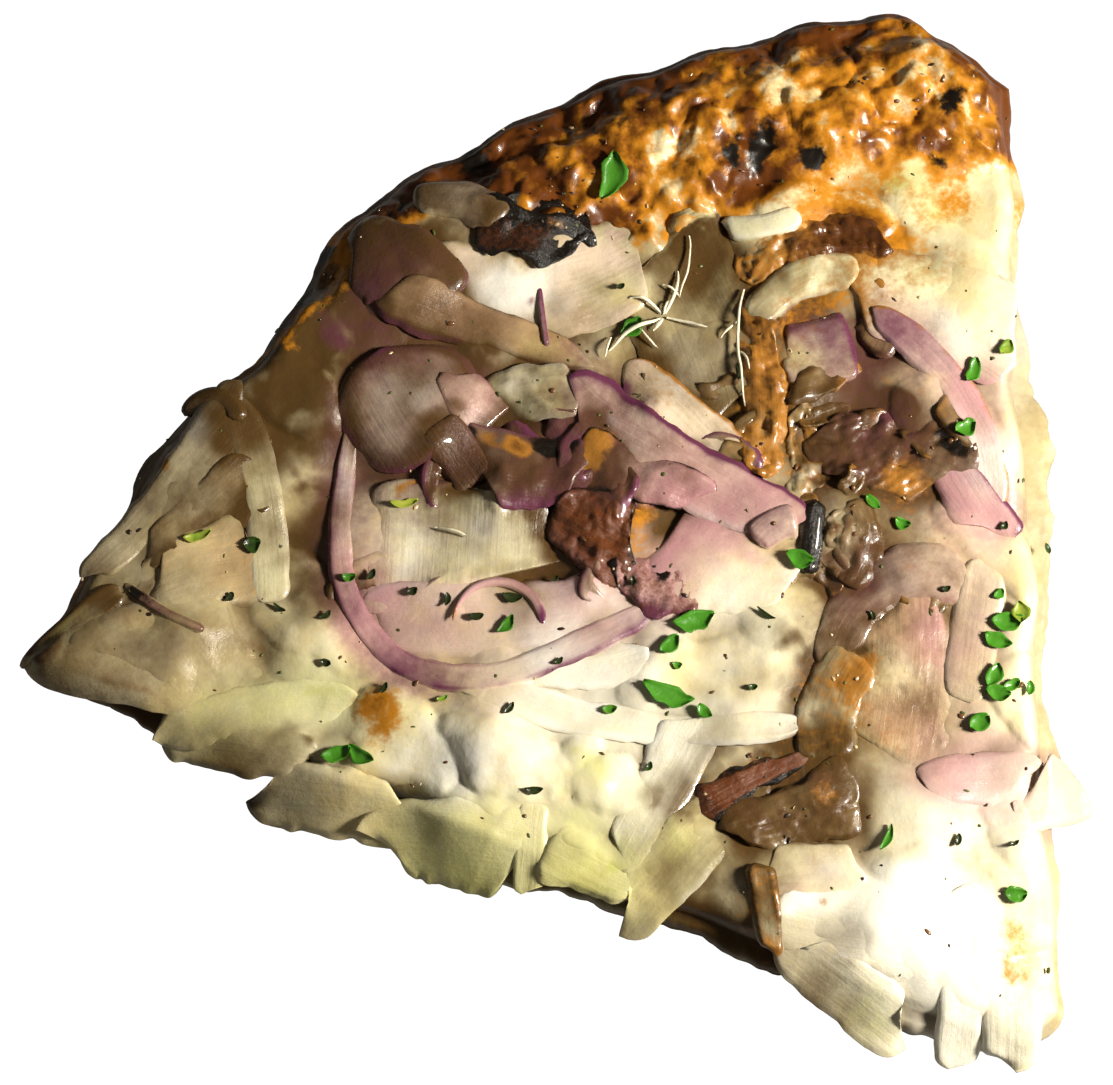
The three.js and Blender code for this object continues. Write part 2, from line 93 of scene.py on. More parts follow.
def corner_values(lattice, ix, iy):
    """The lattice's values at the four corners of each cell."""
    return {(i, j): lattice[(ix + i) % LATTICE, (iy + j) % LATTICE]
            for i in (0, 1) for j in (0, 1)}


def noise(x, y, size, seed):
    """Smooth noise from -1 to 1 whose bumps are about size across."""
    lattice = np.random.default_rng(seed).uniform(-1, 1, (LATTICE, LATTICE))
    gx, gy, ix, iy = lattice_cells(x, y, size)
    corner = corner_values(lattice, ix, iy)
    fx = ease(gx - ix, 0, 1)
    low = mix(corner[0, 0], corner[1, 0], fx)
    high = mix(corner[0, 1], corner[1, 1], fx)
    return mix(low, high, ease(gy - iy, 0, 1))


def rough(x, y, size, seed, layers=3):
    """Noise with finer noise on it, about -1 to 1."""
    total = sum(noise(x, y, size / 2**k, seed + k) / 2**k for k in range(layers))
    return total / 1.5


def blur(grid, passes):
    """Averages each point with its neighbours, again and again."""
    for _ in range(passes):
        padded = np.pad(grid, 1, mode="edge")
        grid = (padded[:-2, 1:-1] + padded[2:, 1:-1] + 2 * grid) / 4
        padded = np.pad(grid, 1, mode="edge")
        grid = (padded[1:-1, :-2] + padded[1:-1, 2:] + 2 * grid) / 4
    return grid


def bubbles(x, y, size, seed):
    """Round bumps, at most 1 high, one in each cell of size, in uneven places and sizes."""
    dice = np.random.default_rng(seed).uniform(0, 1, (LATTICE, LATTICE, 3))
    gx, gy, ix, iy = lattice_cells(x, y, size)
    best = np.zeros_like(gx)
    for dx in (-1, 0, 1):
        for dy in (-1, 0, 1):
            cell = dice[(ix + dx) % LATTICE, (iy + dy) % LATTICE]
            apart = np.hypot(ix + dx + cell[..., 0] - gx, iy + dy + cell[..., 1] - gy)
            radius = 0.35 + 0.5 * cell[..., 2]
            best = np.maximum(best, radius * np.sqrt(np.maximum(0, 1 - (apart / radius) ** 2)))
    return best


# %% [markdown]
# ## From points to a piece
# A finished piece is one closed mesh at the origin, with its place in its points. Each one
# carries named values on its points, such as how browned it is there, which the materials
# read, and a UV map in millimetres wherever a pattern has to follow the piece.


# %% Make a piece from arrays
def put_in_scene(name, data):
    thing = bpy.data.objects.new(name, data)
    bpy.context.scene.collection.objects.link(thing)
    return thing


def join_parts(parts):
    """The points of many bits in one array, and their faces, renumbered to fit."""
    starts = np.cumsum([0] + [len(part[0]) for part in parts])
    faces = [group + start for part, start in zip(parts, starts) for group in part[1]]
    return np.concatenate([part[0] for part in parts]), faces


def make_piece(name, points, faces, material, nodes=(), values=None, uv=None):
    mesh = bpy.data.meshes.new(name)
    points = np.asarray(points, np.float32)
    corners = np.concatenate([np.asarray(f, np.int32).ravel() for f in faces])
    sizes = np.concatenate([np.full(len(f), np.asarray(f).shape[1]) for f in faces])
    mesh.vertices.add(len(points))
    mesh.vertices.foreach_set("co", (points * MM).ravel())
    mesh.loops.add(len(corners))
    mesh.loops.foreach_set("vertex_index", corners)
    mesh.polygons.add(len(sizes))
    mesh.polygons.foreach_set("loop_start", np.r_[0, np.cumsum(sizes)[:-1]].astype(np.int32))
    mesh.update(calc_edges=True)
    mesh.validate()
    mesh.polygons.foreach_set("use_smooth", np.ones(len(sizes), bool))
    for key, value in (values or {}).items():
        layer = mesh.attributes.new(key, "FLOAT", "POINT")
        layer.data.foreach_set("value", np.asarray(value, np.float32).ravel())
    if uv is not None:
        layer = mesh.uv_layers.new(name="along")
        layer.data.foreach_set("uv", np.asarray(uv, np.float32)[corners].ravel())
    mesh.materials.append(material)
    piece = put_in_scene(name, mesh)
    if nodes:
        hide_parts(*nodes)
    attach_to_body(piece, "root")
    return piece


def grid_faces(rows, columns, first=0, up=True):
    """The squares of a grid of (rows + 1) by (columns + 1) points."""
    i, j = np.meshgrid(np.arange(rows), np.arange(columns), indexing="ij")
    a = first + (i * (columns + 1) + j).ravel()
    b = a + columns + 1
    square = [a, b, b + 1, a + 1] if up else [a, a + 1, b + 1, b]
    return np.stack(square, 1)


def edge_loop(rows, columns):
    """The points round a grid's outside, anticlockwise as seen from above."""
    at = np.arange((rows + 1) * (columns + 1)).reshape(rows + 1, columns + 1)
    return np.r_[at[:-1, 0], at[-1, :-1], at[:0:-1, -1], at[0, :0:-1]]


def join_loops(upper, lower):
    """The wall between two loops with the same number of points."""
    return np.stack([upper, lower, np.roll(lower, -1), np.roll(upper, -1)], 1)


# %% [markdown]
# ## The plan of the slice
# The slice is a sixth of a pizza or so, cut by hand: two nearly straight cuts that meet in a
# rounded tip, and a rim that wanders a few millimetres. These rules and their values are the
# construction's own, with the tip at TIP and the rim towards +Y.

# %% Outline of the wedge
SLICE_RADIUS = 160
HALF_ANGLE = 34
TIP = (0, -100)
IN_FRAME = np.array([TIP[0], TIP[1], 0])
TIP_ROUND = 9
DOUGH_THICK = 9
RIM_RISE = 5
RIM_WIDTH = 20
CHEESE_THICK = 7.5
CHEESE_LIP = 1.8


def rim_radius(turn):
    """Distance from the tip to the rim; turn is in degrees from the centre line."""
    trim = 15 * ease(-turn, HALF_ANGLE - 7, HALF_ANGLE + 1) ** 1.5
    wander = 0.9 * np.sin(turn * 0.42) + 0.5 * np.sin(turn * 1.1 + 2) - 0.11 * turn
    swell = 3.8 * hill(turn, -1, 9) + 1.8 * hill(turn, -19, 5) - 3 * hill(turn, 14, 4)
    return SLICE_RADIUS - 0.7 - trim + wander + swell


def tip_radius(turn):
    """Distance from the point at which the rounded tip begins."""
    turn = np.radians(turn)
    inside = (TIP_ROUND * math.sin(math.radians(HALF_ANGLE))) ** 2
    return TIP_ROUND * np.cos(turn) - np.sqrt(
        np.maximum(0, inside - (TIP_ROUND * np.sin(turn)) ** 2)
    )


def cut_wander(far):
    return 0.5 + 0.6 * np.sin(far * 0.11) + 0.4 * np.sin(far * 0.29 + 1)


def left_lip(far):
    bulge = 0.9 + 3.6 * hill(far, 88, 12) + 2.6 * hill(far, 30, 10) - 1.2 * hill(far, 5, 6)
    return CHEESE_LIP + bulge


def right_lip(far):
    bulge = 5.4 * hill(far, 91, 13) + 1.6 * hill(far, 40, 9) - 1.2 * hill(far, 115, 9)
    return CHEESE_LIP - 1.2 * hill(far, 15, 12) + bulge


def plan_point(out, side):
    """out is 0 at the tip and 1 at the rim, side -1 at the right cut and 1 at the left."""
    turn = side * HALF_ANGLE
    far = mix(tip_radius(turn), rim_radius(turn), out)
    heading = np.radians(90 + turn)
    spread = np.abs(side) ** 3 * cut_wander(far) * np.sign(side)
    x = np.cos(heading) * far - np.sin(heading) * spread
    y = np.sin(heading) * far + np.cos(heading) * spread
    return x, y


# %% [markdown]
# ## Heights
# Dough and cheese are heights over the plan. The dough is flat and swells under the rim. The
# cheese is laid over it, thinner at the tip, with mounds where it bubbled up.

# %% Heights of dough and cheese
# A mound is its x and y, its reach and its rise; a negative rise is a hollow.
MOUNDS = [
    (-41, 80, 12, 2.2), (-50, 70, 9, 1.4), (4, 70, 12, -1.2), (62, 88, 13, 1.6),
    (2, 28, 12, 1.6), (40, 140, 14, 1.6), (-74, 118, 14, 1.2), (22, 122, 9, -1.5),
]


def dough_top(x, y):
    far = np.hypot(x, y)
    rise = RIM_RISE * ease(far, SLICE_RADIUS - RIM_WIDTH - 8, SLICE_RADIUS - 6)
    rise = rise - 3.2 * ease(far, SLICE_RADIUS - 7, SLICE_RADIUS)
    bumps = 0.35 * np.sin(x * 0.23 + 1) * np.sin(y * 0.19)
    return DOUGH_THICK - 1.5 * (1 - ease(far, 0, 40)) + rise + bumps


def cheese_base(x, y):
    """The cheese before any relief on it."""
    far = np.hypot(x, y)
    mounds = sum(rise * spot(x, y, mx, my, reach) for mx, my, reach, rise in MOUNDS)
    waves = 0.55 * np.sin(x * 0.31 + y * 0.17) + 0.45 * np.sin(x * 0.19 - y * 0.37 + 2)
    rim = ease(far, SLICE_RADIUS - RIM_WIDTH, SLICE_RADIUS - 6)
    thin = 2.2 * (1 - ease(far, 0, 45))
    return dough_top(x, y) + CHEESE_THICK - thin + mounds + mix(waves, -1.6, rim)

# %% [markdown]
# ## The baked rim and the lumps
# At the rim the cheese has fried in its own fat. It's a mass of blisters, deep gold on the
# right half, and only a thin dark edge on the left, burnt at its outside and darkened further
# by painted shade. Elsewhere the cheese is smooth, with a few soft lumps where pieces of it
# have only half melted.


# %% Relief of the cheese
def rim_begins(x, y):
    """How far from the tip the fried cheese begins; it's wide on the right half only."""
    turn = polar(x, y)[1]
    wide = 136 + 3 * hill(turn, -22, 4) - 3 * hill(turn, -14, 4)
    return mix(wide, 155, ease(turn, -7, -1))


def on_rim(x, y):
    """1 on the fried rim and 0 inside it, with an uneven border."""
    far = np.hypot(x, y) + 3.2 * rough(x, y, 13, 41) + 1.4 * rough(x, y, 4, 45)
    return ease(far - rim_begins(x, y), -2.5, 3.0)


# A lump is its x and y, heading, length, width and rise.
LUMPS = [
    (-41, 79, -58, 23, 12, 2.0), (-51, 89, -74, 20, 13, 1.4), (-30, 66, -40, 16, 9, 1.4),
    (-33, 72, -150, 12, 7, 1.0), (43, 83, -80, 22, 13, 1.0), (-8, 70, -30, 30, 16, 1.2),
    (6, 72, -60, 18, 12, 0.8), (50, 105, -70, 20, 12, 0.8), (60, 108, -80, 24, 8, 0.9),
    (46, 124, -35, 16, 9, 1.2), (52, 119, -60, 12, 8, 1.4), (30, 40, -60, 22, 14, 1.2),
    (4, 24, -50, 30, 14, 1.0), (12, 26, -100, 18, 7, 0.8), (38, 62, -75, 26, 9, 1.0),
    (-52, 109, -60, 24, 10, 1.0), (-36, 143, -60, 18, 12, 1.2), (-50, 118, -80, 20, 8, 0.9),
]


def lumps_at(x, y):
    wx = x + 1.6 * rough(x, y, 6, 331)
    wy = y + 1.6 * rough(x, y, 6, 335)
    total = np.zeros_like(x)
    for lx, ly, heading, length, width, rise in LUMPS:
        facing = math.radians(heading)
        along = (wx - lx) * math.cos(facing) + (wy - ly) * math.sin(facing)
        aside = (wy - ly) * math.cos(facing) - (wx - lx) * math.sin(facing)
        apart = (2 * along / length) ** 2 + (2 * aside / width) ** 2
        total = np.maximum(total, rise * np.maximum(0, 1 - apart) ** 0.6)
    return total


def crust_relief(x, y):
    """Blisters, folds and pits of the fried cheese."""
    wx = x + 2.2 * rough(x, y, 5, 21)
    wy = y + 2.2 * rough(x, y, 5, 25)
    folds = np.maximum(0, 1 - 3 * np.abs(rough(wx, wy, 10, 3)))
    blisters = 0.8 * bubbles(wx, wy, 5.2, 5) + 0.35 * bubbles(wx, wy, 1.5, 6)
    return 1.9 * rough(x, y, 11, 2) - 1.2 * folds + blisters + 0.5 * rough(x, y, 2.4, 29)


def cheese_top(x, y):
    soft = 0.45 * rough(x, y, 9, 11) + 0.08 * rough(x, y, 2.6, 17) + lumps_at(x, y)
    return cheese_base(x, y) + mix(soft, crust_relief(x, y), on_rim(x, y))


print("lumps:", len(LUMPS))

# %% [markdown]
# ## A map of what lies on the slice
# Each slice of onion drapes over what is already there. So a map keeps the height of the
# pile so far, in half-millimetre cells. A new piece reads the heights under it, and writes
# its own top back for the next one. Past the edge the map falls away, and pieces hang down.

# %% Height map of the pile
CELL = 0.5
MAP_X = (-110, 110)
MAP_Y = (-10, 180)
axis_x = np.arange(MAP_X[0], MAP_X[1], CELL)
axis_y = np.arange(MAP_Y[0], MAP_Y[1], CELL)
map_x, map_y = np.meshgrid(axis_x, axis_y, indexing="ij")


def outside(x, y):
    """How far a point lies outside the dough's outline."""
    far, turn = polar(x, y)
    past_rim = np.maximum(0, far - rim_radius(np.clip(turn, -HALF_ANGLE, HALF_ANGLE)))
    past_cut = np.maximum(0, far * np.sin(np.radians(np.abs(turn) - HALF_ANGLE)))
    return past_rim + past_cut


DEEPEST_FALL = 9
drop = 1.1 * np.maximum(0, outside(map_x, map_y) - 1)
pile = cheese_top(map_x, map_y) - np.minimum(DEEPEST_FALL, drop)


def read_map(grid, x, y):
    """The map's value at each point, blended between cells."""
    gx = np.clip((x - MAP_X[0]) / CELL, 0, len(axis_x) - 1.001)
    gy = np.clip((y - MAP_Y[0]) / CELL, 0, len(axis_y) - 1.001)
    ix = gx.astype(int)
    iy = gy.astype(int)
    low = mix(grid[ix, iy], grid[ix + 1, iy], gx - ix)
    high = mix(grid[ix, iy + 1], grid[ix + 1, iy + 1], gx - ix)
    return mix(low, high, gy - iy)


def cells_of(x, y):
    """The map's cells that a fine grid of points falls in."""
    ix = np.clip(np.round((x - MAP_X[0]) / CELL), 0, len(axis_x) - 1).astype(int)
    iy = np.clip(np.round((y - MAP_Y[0]) / CELL), 0, len(axis_y) - 1).astype(int)
    return ix.ravel(), iy.ravel()


def raise_map(grid, x, y, z):
    """Raises the map's cells to a surface given as a fine grid of points."""
    np.maximum.at(grid, cells_of(x, y), z.ravel())


# %% [markdown]
# ## Marks of heat and oil, and painted shade and light
# Browning doesn't keep to one piece: heat, herb oil and onion juice stain whatever lies
# there. The shade marks are brown juice in part and painted shade in part, and the white
# marks are pale onion in part and painted light in part. These marks are round patches with
# uneven borders, and the cheese and the onion both read them. Each is an amount, where 1 is
# fully that colour, then its place and its reach in millimetres from the tip.

# %% Marks on the slice
MARKS = {
    "browned": [
        (0.55, -52, 92, 3), (0.62, -52, 96, 3.4), (0.35, -10, 100, 5), (0.4, -2.5, 97.7, 2.5),
        (0.3, -0.9, 16.3, 2.5), (0.42, 1, 13, 4), (0.3, 3.6, 17.5, 2.5), (0.35, 4, 16, 3),
        (0.4, 8, 60, 4), (0.3, 12, 111, 5), (0.25, 26, 68, 5), (0.3, 36, 112, 9),
        (0.4, 39.6, 134.8, 5), (0.45, 41.4, 129.5, 6), (0.38, 44, 112, 8), (0.5, 49.5, 124.9, 6),
        (0.3, 49.7, 109.7, 6), (0.42, 52, 122, 9), (0.22, 54, 105, 9), (0.35, 54.3, 109.5, 5),
        (0.4, 59, 121, 4), (0.3, 60.1, 113.6, 6), (0.45, 66, 113, 5), (0.3, 72, 98, 3),
        (0.35, 75, 106, 3.5), (0.25, 78, 100, 5), (0.3, 79, 114, 6)
    ],
    # Brown juice, and painted shade where the slice lies in shadow.
    "shade": [
        (0.6, -89, 126, 8), (0.4, -80.4, 120.8, 6), (0.3, -79.4, 123.9, 7), (0.4, -74.1, 129.6, 8),
        (0.35, -72.4, 116.5, 8), (0.4, -70.1, 101.1, 4), (0.35, -69.7, 128.4, 6),
        (0.45, -69.6, 113.5, 6), (0.35, -69.4, 89.2, 5), (0.45, -68.1, 99.1, 5),
        (0.35, -65.4, 90, 5), (0.3, -65.2, 132.7, 5), (0.55, -65.1, 99.5, 4), (0.4, -65, 114, 7),
        (0.45, -63.6, 124.2, 9), (0.25, -62, 132, 10), (0.5, -58, 136.2, 7),
        (0.35, -50.4, 133.9, 5), (0.65, -49, 115, 5), (0.5, -48.5, 128.7, 5),
        (0.45, -48.2, 121, 4), (0.25, -46.8, 70.7, 4), (0.55, -45.4, 121, 3), (0.6, -45, 120.3, 4),
        (0.85, -43, 125, 6), (0.9, -42, 142, 9), (0.55, -41.7, 133.6, 5), (0.3, -41.4, 63.4, 5),
        (0.7, -41, 127, 4), (0.45, -38.7, 47.3, 5), (0.75, -37.4, 133.1, 4), (0.75, -36, 135, 6),
        (0.3, -30, 57.3, 5), (0.45, -29, 135.4, 4), (0.95, -29, 149, 13), (0.5, -28.6, 42.1, 6),
        (0.55, -28, 50, 8), (0.4, -26.4, 136.6, 5), (0.75, -26.4, 142, 4), (0.55, -26, 118, 6),
        (0.3, -25, 97.5, 6), (0.35, -24.9, 120.1, 5), (0.3, -24.6, 108.5, 3),
        (0.6, -23.4, 25.7, 6), (0.55, -23.2, 59.5, 4.5), (0.7, -21.4, 118.3, 5),
        (0.5, -21, 20.6, 5), (0.65, -20.9, 124.6, 4), (0.28, -20.4, 105.6, 3),
        (0.8, -20.3, 150, 5), (0.35, -20.2, 86.4, 4), (0.75, -19.5, 151, 6), (0.3, -19.4, 74.9, 5),
        (0.95, -19.1, 147.6, 6.5), (0.4, -18.7, 114.5, 4), (0.45, -18.4, 120.4, 5),
        (0.35, -16.7, 99.3, 4), (0.5, -16.4, 125.4, 3), (0.45, -16.1, 30.2, 6), (0.35, -16, 50, 9),
        (0.25, -14.9, 81.3, 5), (0.6, -14.4, 147.9, 4.5), (0.7, -14, 108, 7), (0.5, -14, 138, 16),
        (0.3, -13.8, 38.2, 5), (0.5, -13.2, 57.3, 4), (0.3, -13.2, 71, 7), (0.45, -13.1, 63.6, 5),
        (0.75, -13, 154, 10), (0.35, -12.4, 62.2, 4), (0.4, -8.2, 59.3, 4), (0.4, -8, 112, 17),
        (0.25, -7.7, 76.3, 5), (0.8, -6, 104, 7), (0.35, -5.2, 67.2, 5), (0.35, -5, 57, 9),
        (0.3, -4.2, 61.1, 6), (0.3, -2.9, 73, 5), (0.35, -2.3, 94.2, 5), (0.5, -1.4, 108.3, 5),
        (0.95, -1, 54, 7), (0.45, 3, 60, 5), (0.35, 3.8, 69.9, 4), (0.3, 5.9, 65.1, 5),
        (0.4, 6, 132, 4), (0.3, 11.3, 43.2, 6), (0.45, 12, 122, 6), (0.3, 12.9, 138.1, 3),
        (0.3, 13, 62, 13), (0.35, 13.2, 131.9, 4), (0.35, 13.4, 54.4, 7), (0.4, 16, 112, 9),
        (0.3, 16.8, 38.5, 5), (0.45, 19, 73, 7), (0.34, 23, 115, 12), (0.25, 24.6, 70.8, 4),
        (0.5, 25, 128, 9), (0.4, 30, 95, 13), (0.85, 35, 90, 8), (0.3, 56.6, 108.9, 6)
    ],
    # Pale onion and cheese, and painted light where the slice is brightest.
    "white": [
        (0.6, -52.1, 86, 4), (0.5, -51.6, 81.7, 5), (0.45, -50.2, 148.1, 5), (0.7, -46.9, 86, 5),
        (0.95, -46, 82, 8), (0.5, -43.4, 83.3, 9), (0.6, -43.3, 83.5, 8), (0.8, -43.1, 81.3, 7),
        (0.55, -38, 76, 10), (0.45, -30.2, 116.1, 7), (0.5, -25.5, 86.4, 8), (0.4, -25, 108, 9),
        (0.55, -23.1, 79.6, 6), (0.3, -22, 72, 12), (0.55, -12, 84, 8), (0.5, -9.7, 29.3, 10),
        (0.4, -7.2, 13.7, 12), (0.5, -3.1, 72.8, 9), (0.45, -3, 22, 11), (0.5, -2.6, 78.4, 7),
        (0.35, -2, 72, 9), (0.4, -1, 42, 7), (0.4, -0.6, 138.4, 4), (0.5, -0.1, 61.9, 6),
        (0.55, 0.2, 26, 12), (0.5, 0.4, 38.2, 11), (0.45, 4, 138, 7), (0.45, 9.8, 24.6, 9),
        (0.5, 11, 29, 12), (0.6, 15.5, 111.5, 5), (0.3, 16.8, 118.5, 4), (0.5, 16.9, 116.1, 5),
        (0.45, 23, 110.3, 5), (0.4, 38.5, 82.1, 5), (0.6, 44, 74.5, 7), (0.6, 52.5, 95.8, 6),
        (0.6, 61.2, 89.8, 8)
    ],
    "skin": [
        (0.35, -43, 112, 5), (0.3, -38, 101, 4), (0.4, -36, 123, 7), (0.35, -20, 143, 8),
        (0.22, -8, 113, 18), (0.3, -6, 112, 8), (0.35, 18, 73, 8), (0.18, 33, 92, 14),
        (0.3, 36, 90, 9), (0.3, 36, 102, 8), (0.55, 36, 107, 6), (0.45, 46, 98, 7)
    ],
    "green": [
        (0.4, -84.9, 130, 4), (0.6, -73.1, 108.4, 4), (0.5, -66, 106, 7), (0.4, -55.4, 102.2, 6),
        (0.6, -54, 66, 12), (0.3, -49.3, 90.1, 7), (0.36, -45, 92, 10), (0.5, -42.4, 92.6, 7),
        (0.45, -36.4, 70.7, 6), (0.95, -36, 57, 2.2), (0.5, -36, 60, 10), (0.32, -31, 79, 8),
        (0.4, -28.8, 74.1, 7), (0.7, -28.3, 72.3, 7), (0.42, -27, 64, 8), (0.5, -26.9, 64.1, 6),
        (0.6, -26.4, 54.9, 5), (0.65, -18, 18, 5), (0.4, -13.2, 31.7, 6), (0.3, -3, 8, 7),
        (0.4, 8, 116, 7), (0.4, 11.8, 114.1, 6), (0.45, 14, 130.3, 6), (0.45, 28.1, 126.6, 8),
        (0.45, 37, 98, 6), (0.35, 50, 110.5, 5), (0.35, 52, 70, 9), (0.45, 54.7, 106.3, 6),
        (0.4, 58, 101, 7), (0.8, 59, 119, 3), (0.5, 60.6, 120.1, 7), (0.45, 62, 112, 5)
    ],
    "charred": [
        (0.5, -4, 157, 5), (0.55, 8, 156, 4), (0.6, 30, 151, 3), (0.9, 41, 139, 2.2),
        (1, 46, 136, 2.8), (1, 51, 131, 2.6), (0.7, 67, 118, 2), (0.8, 74, 125, 3.6)
    ],
    "pink": [
        (0.45, -42.9, 102.4, 7), (0.45, -42.7, 117.2, 5), (0.5, -42, 110, 7), (0.4, -33, 100, 8),
        (0.35, -28, 112, 6), (0.55, -17, 94, 8), (0.35, -8, 140, 7), (0.75, -4, 91, 7),
        (0.35, 1.8, 136.7, 5), (0.6, 4, 93, 8), (0.45, 9, 87, 8), (0.5, 12, 38, 7),
        (0.5, 13.7, 41.5, 7), (0.45, 22.1, 57.6, 7), (0.5, 23.5, 29.6, 5), (0.4, 42, 80, 8),
        (0.45, 50, 88, 9), (0.3, 60, 100, 9)
    ],
}
KINDS = ("pink", "skin", "shade", "green", "white", "browned", "charred")


# %% [markdown]
# Some of the top lay nearest to the fire. There everything is mottled, each colour in its own
# patches a few millimetres across: darker brown, skins gone purple, sugar gone gold, and paler.


# %% Where the top was hottest
# A hot place is its x and y, its reach and its strength. Each kind of mottling is its
# strength, the size of its patches, the noise where they begin and are full, and a seed.
HOT = [
    (-29, 149, 13, 1.0), (-15, 137, 16, 0.8), (-10, 112, 19, 1.0), (6, 98, 13, 0.9),
    (31, 93, 15, 1.0), (38, 117, 15, 0.8), (10, 62, 15, 0.7), (-12, 54, 12, 0.9),
    (10, 143, 10, 0.6), (24, 118, 10, 0.35), (-45, 128, 12, 0.5),
]
MOTTLING = [
    ("shade", 0.75, 6.5, -0.15, 0.75, 801),
    ("shade", 0.45, 2.6, 0.05, 0.75, 841),
    ("browned", 0.42, 4.5, 0.20, 0.85, 811),
    ("skin", 0.38, 5.0, 0.15, 0.80, 821),
    ("white", 0.50, 3.0, 0.25, 0.80, 831),
]


def heat_at(x, y):
    return np.maximum.reduce([amount * spot(x, y, hx, hy, reach)
                              for hx, hy, reach, amount in HOT])


def marks_at(x, y, mottled=1.0):
    """How strong each kind of mark is at each point."""
    wx = x + 2.2 * rough(x, y, 7, 301)
    wy = y + 2.2 * rough(x, y, 7, 305)
    total = {kind: np.zeros_like(x) for kind in KINDS}
    for kind, marks in MARKS.items():
        for amount, mx, my, reach in marks:
            total[kind] = np.maximum(total[kind], amount * spot(wx, wy, mx, my, reach))
    heat = mottled * heat_at(x, y)
    for kind, amount, size, low, high, seed in MOTTLING:
        total[kind] += amount * heat * ease(rough(x, y, size, seed), low, high)
    return total


print("marks:", {kind: len(marks) for kind, marks in MARKS.items()})

# %% [markdown]
# ## Materials
# Cooked onion and melted cheese gloss with oil, so both use a thin coat over a soft colour.
# Scattering of light inside them was left out: it changed little here and doubled the time.
# What changes over a surface, such as browning, comes from values stored on the points, and
# one shader group turns them into colours for both.


# %% Shader helpers
def new_material(name):
    material = bpy.data.materials.new(name)
    material.use_nodes = True
    tree = material.node_tree
    tree.nodes.clear()
    return material, tree


def attach(tree, value, socket):
    """Links a node's output to a socket, or sets the socket to a plain value."""
    if isinstance(value, bpy.types.NodeSocket):
        tree.links.new(value, socket)
    else:
        socket.default_value = value


def add_node(tree, kind, *values, **settings):
    """Adds a node. Settings name its properties, or its inputs by socket name; values fill
    its first inputs in turn."""
    node = tree.nodes.new(kind)
    for key, value in settings.items():
        if hasattr(node, key):
            setattr(node, key, value)
        else:
            attach(tree, value, node.inputs[key.replace("_", " ")])
    for socket, value in zip(node.inputs, values):
        attach(tree, value, socket)
    return node


def attribute(tree, name):
    return add_node(tree, "ShaderNodeAttribute", attribute_name=name).outputs["Fac"]


def sum_of(tree, a, factor, b):
    """a * factor + b."""
    return add_node(tree, "ShaderNodeMath", a, factor, b, operation="MULTIPLY_ADD").outputs[0]


def blend_colour(tree, amount, a, b):
    node = add_node(tree, "ShaderNodeMix", amount, data_type="RGBA")
    attach(tree, a, node.inputs[6])
    attach(tree, b, node.inputs[7])
    return node.outputs[2]


def ramp(tree, value, low, high):
    return add_node(tree, "ShaderNodeMapRange", interpolation_type="SMOOTHSTEP", Value=value,
                    From_Min=low, From_Max=high).outputs["Result"]


def noise_node(tree, vector, scale, detail=3.0, roughness=0.55, distortion=0.0):
    return add_node(tree, "ShaderNodeTexNoise", Vector=vector, Scale=scale, Detail=detail,
                    Roughness=roughness, Distortion=distortion).outputs["Fac"]


def object_place(tree):
    return add_node(tree, "ShaderNodeTexCoord").outputs["Object"]


def relief_of(tree, height, strength, depth):
    """The way a surface faces when it has a fine relief, depth metres deep."""
    return add_node(tree, "ShaderNodeBump", Height=height, Strength=strength,
                    Distance=depth).outputs["Normal"]


def show_surface(tree, shader):
    add_node(tree, "ShaderNodeOutputMaterial", Surface=shader.outputs[0])


# %% [markdown]
# ## The cooking group
# Onion juice with painted shade, herb oil, bright thin edges and other painted light, and skin
# colours come first. Then heat browns sugar and protein to gold, to brown and at last to
# black. The group takes a value for each, breaks the borders up with noise, and gives the
# cooked colour. Cheese and onion both use it, each with its own gold and brown.


# %% Shared cooking group
BLACK = (0.009, 0.006, 0.004, 1)
# Shade Tint is brown juice and painted shade; White Tint is pale flesh and painted light.
COOKING_COLOURS = {
    "Raw": (0.8, 0.7, 0.5, 1),
    "Pink Tint": (0.60, 0.35, 0.36, 1),
    "Skin Tint": (0.19, 0.060, 0.115, 1),
    "Shade Tint": (0.135, 0.080, 0.028, 1),
    "Green Tint": (0.62, 0.62, 0.22, 1),
    "White Tint": (0.95, 0.93, 0.85, 1),
    "Gold": (0.62, 0.27, 0.05, 1),
    "Brown": (0.17, 0.055, 0.014, 1),
}
COOKING_INPUTS = [
    *((name, "NodeSocketColor", colour) for name, colour in COOKING_COLOURS.items()),
    *((kind.capitalize(), "NodeSocketFloat", 0.0) for kind in KINDS),
    ("Grain", "NodeSocketFloat", 600.0),
]
# How each tint colours the flesh, in turn, with Shade also painting shade and White also
# painting light: how far fine and broad noise break up its border, and the values at which
# the tint begins and is full.
TINTS = [
    ("Pink", 0.25, 0.35, 0.05, 1.0),
    ("Green", 0.15, 0.35, 0.05, 1.0),
    ("White", 0.45, 0.25, 0.05, 1.0),
    ("Shade", 0.15, 0.25, 0.0, 0.85),
    ("Skin", 0.35, 0.25, 0.08, 0.95),
]


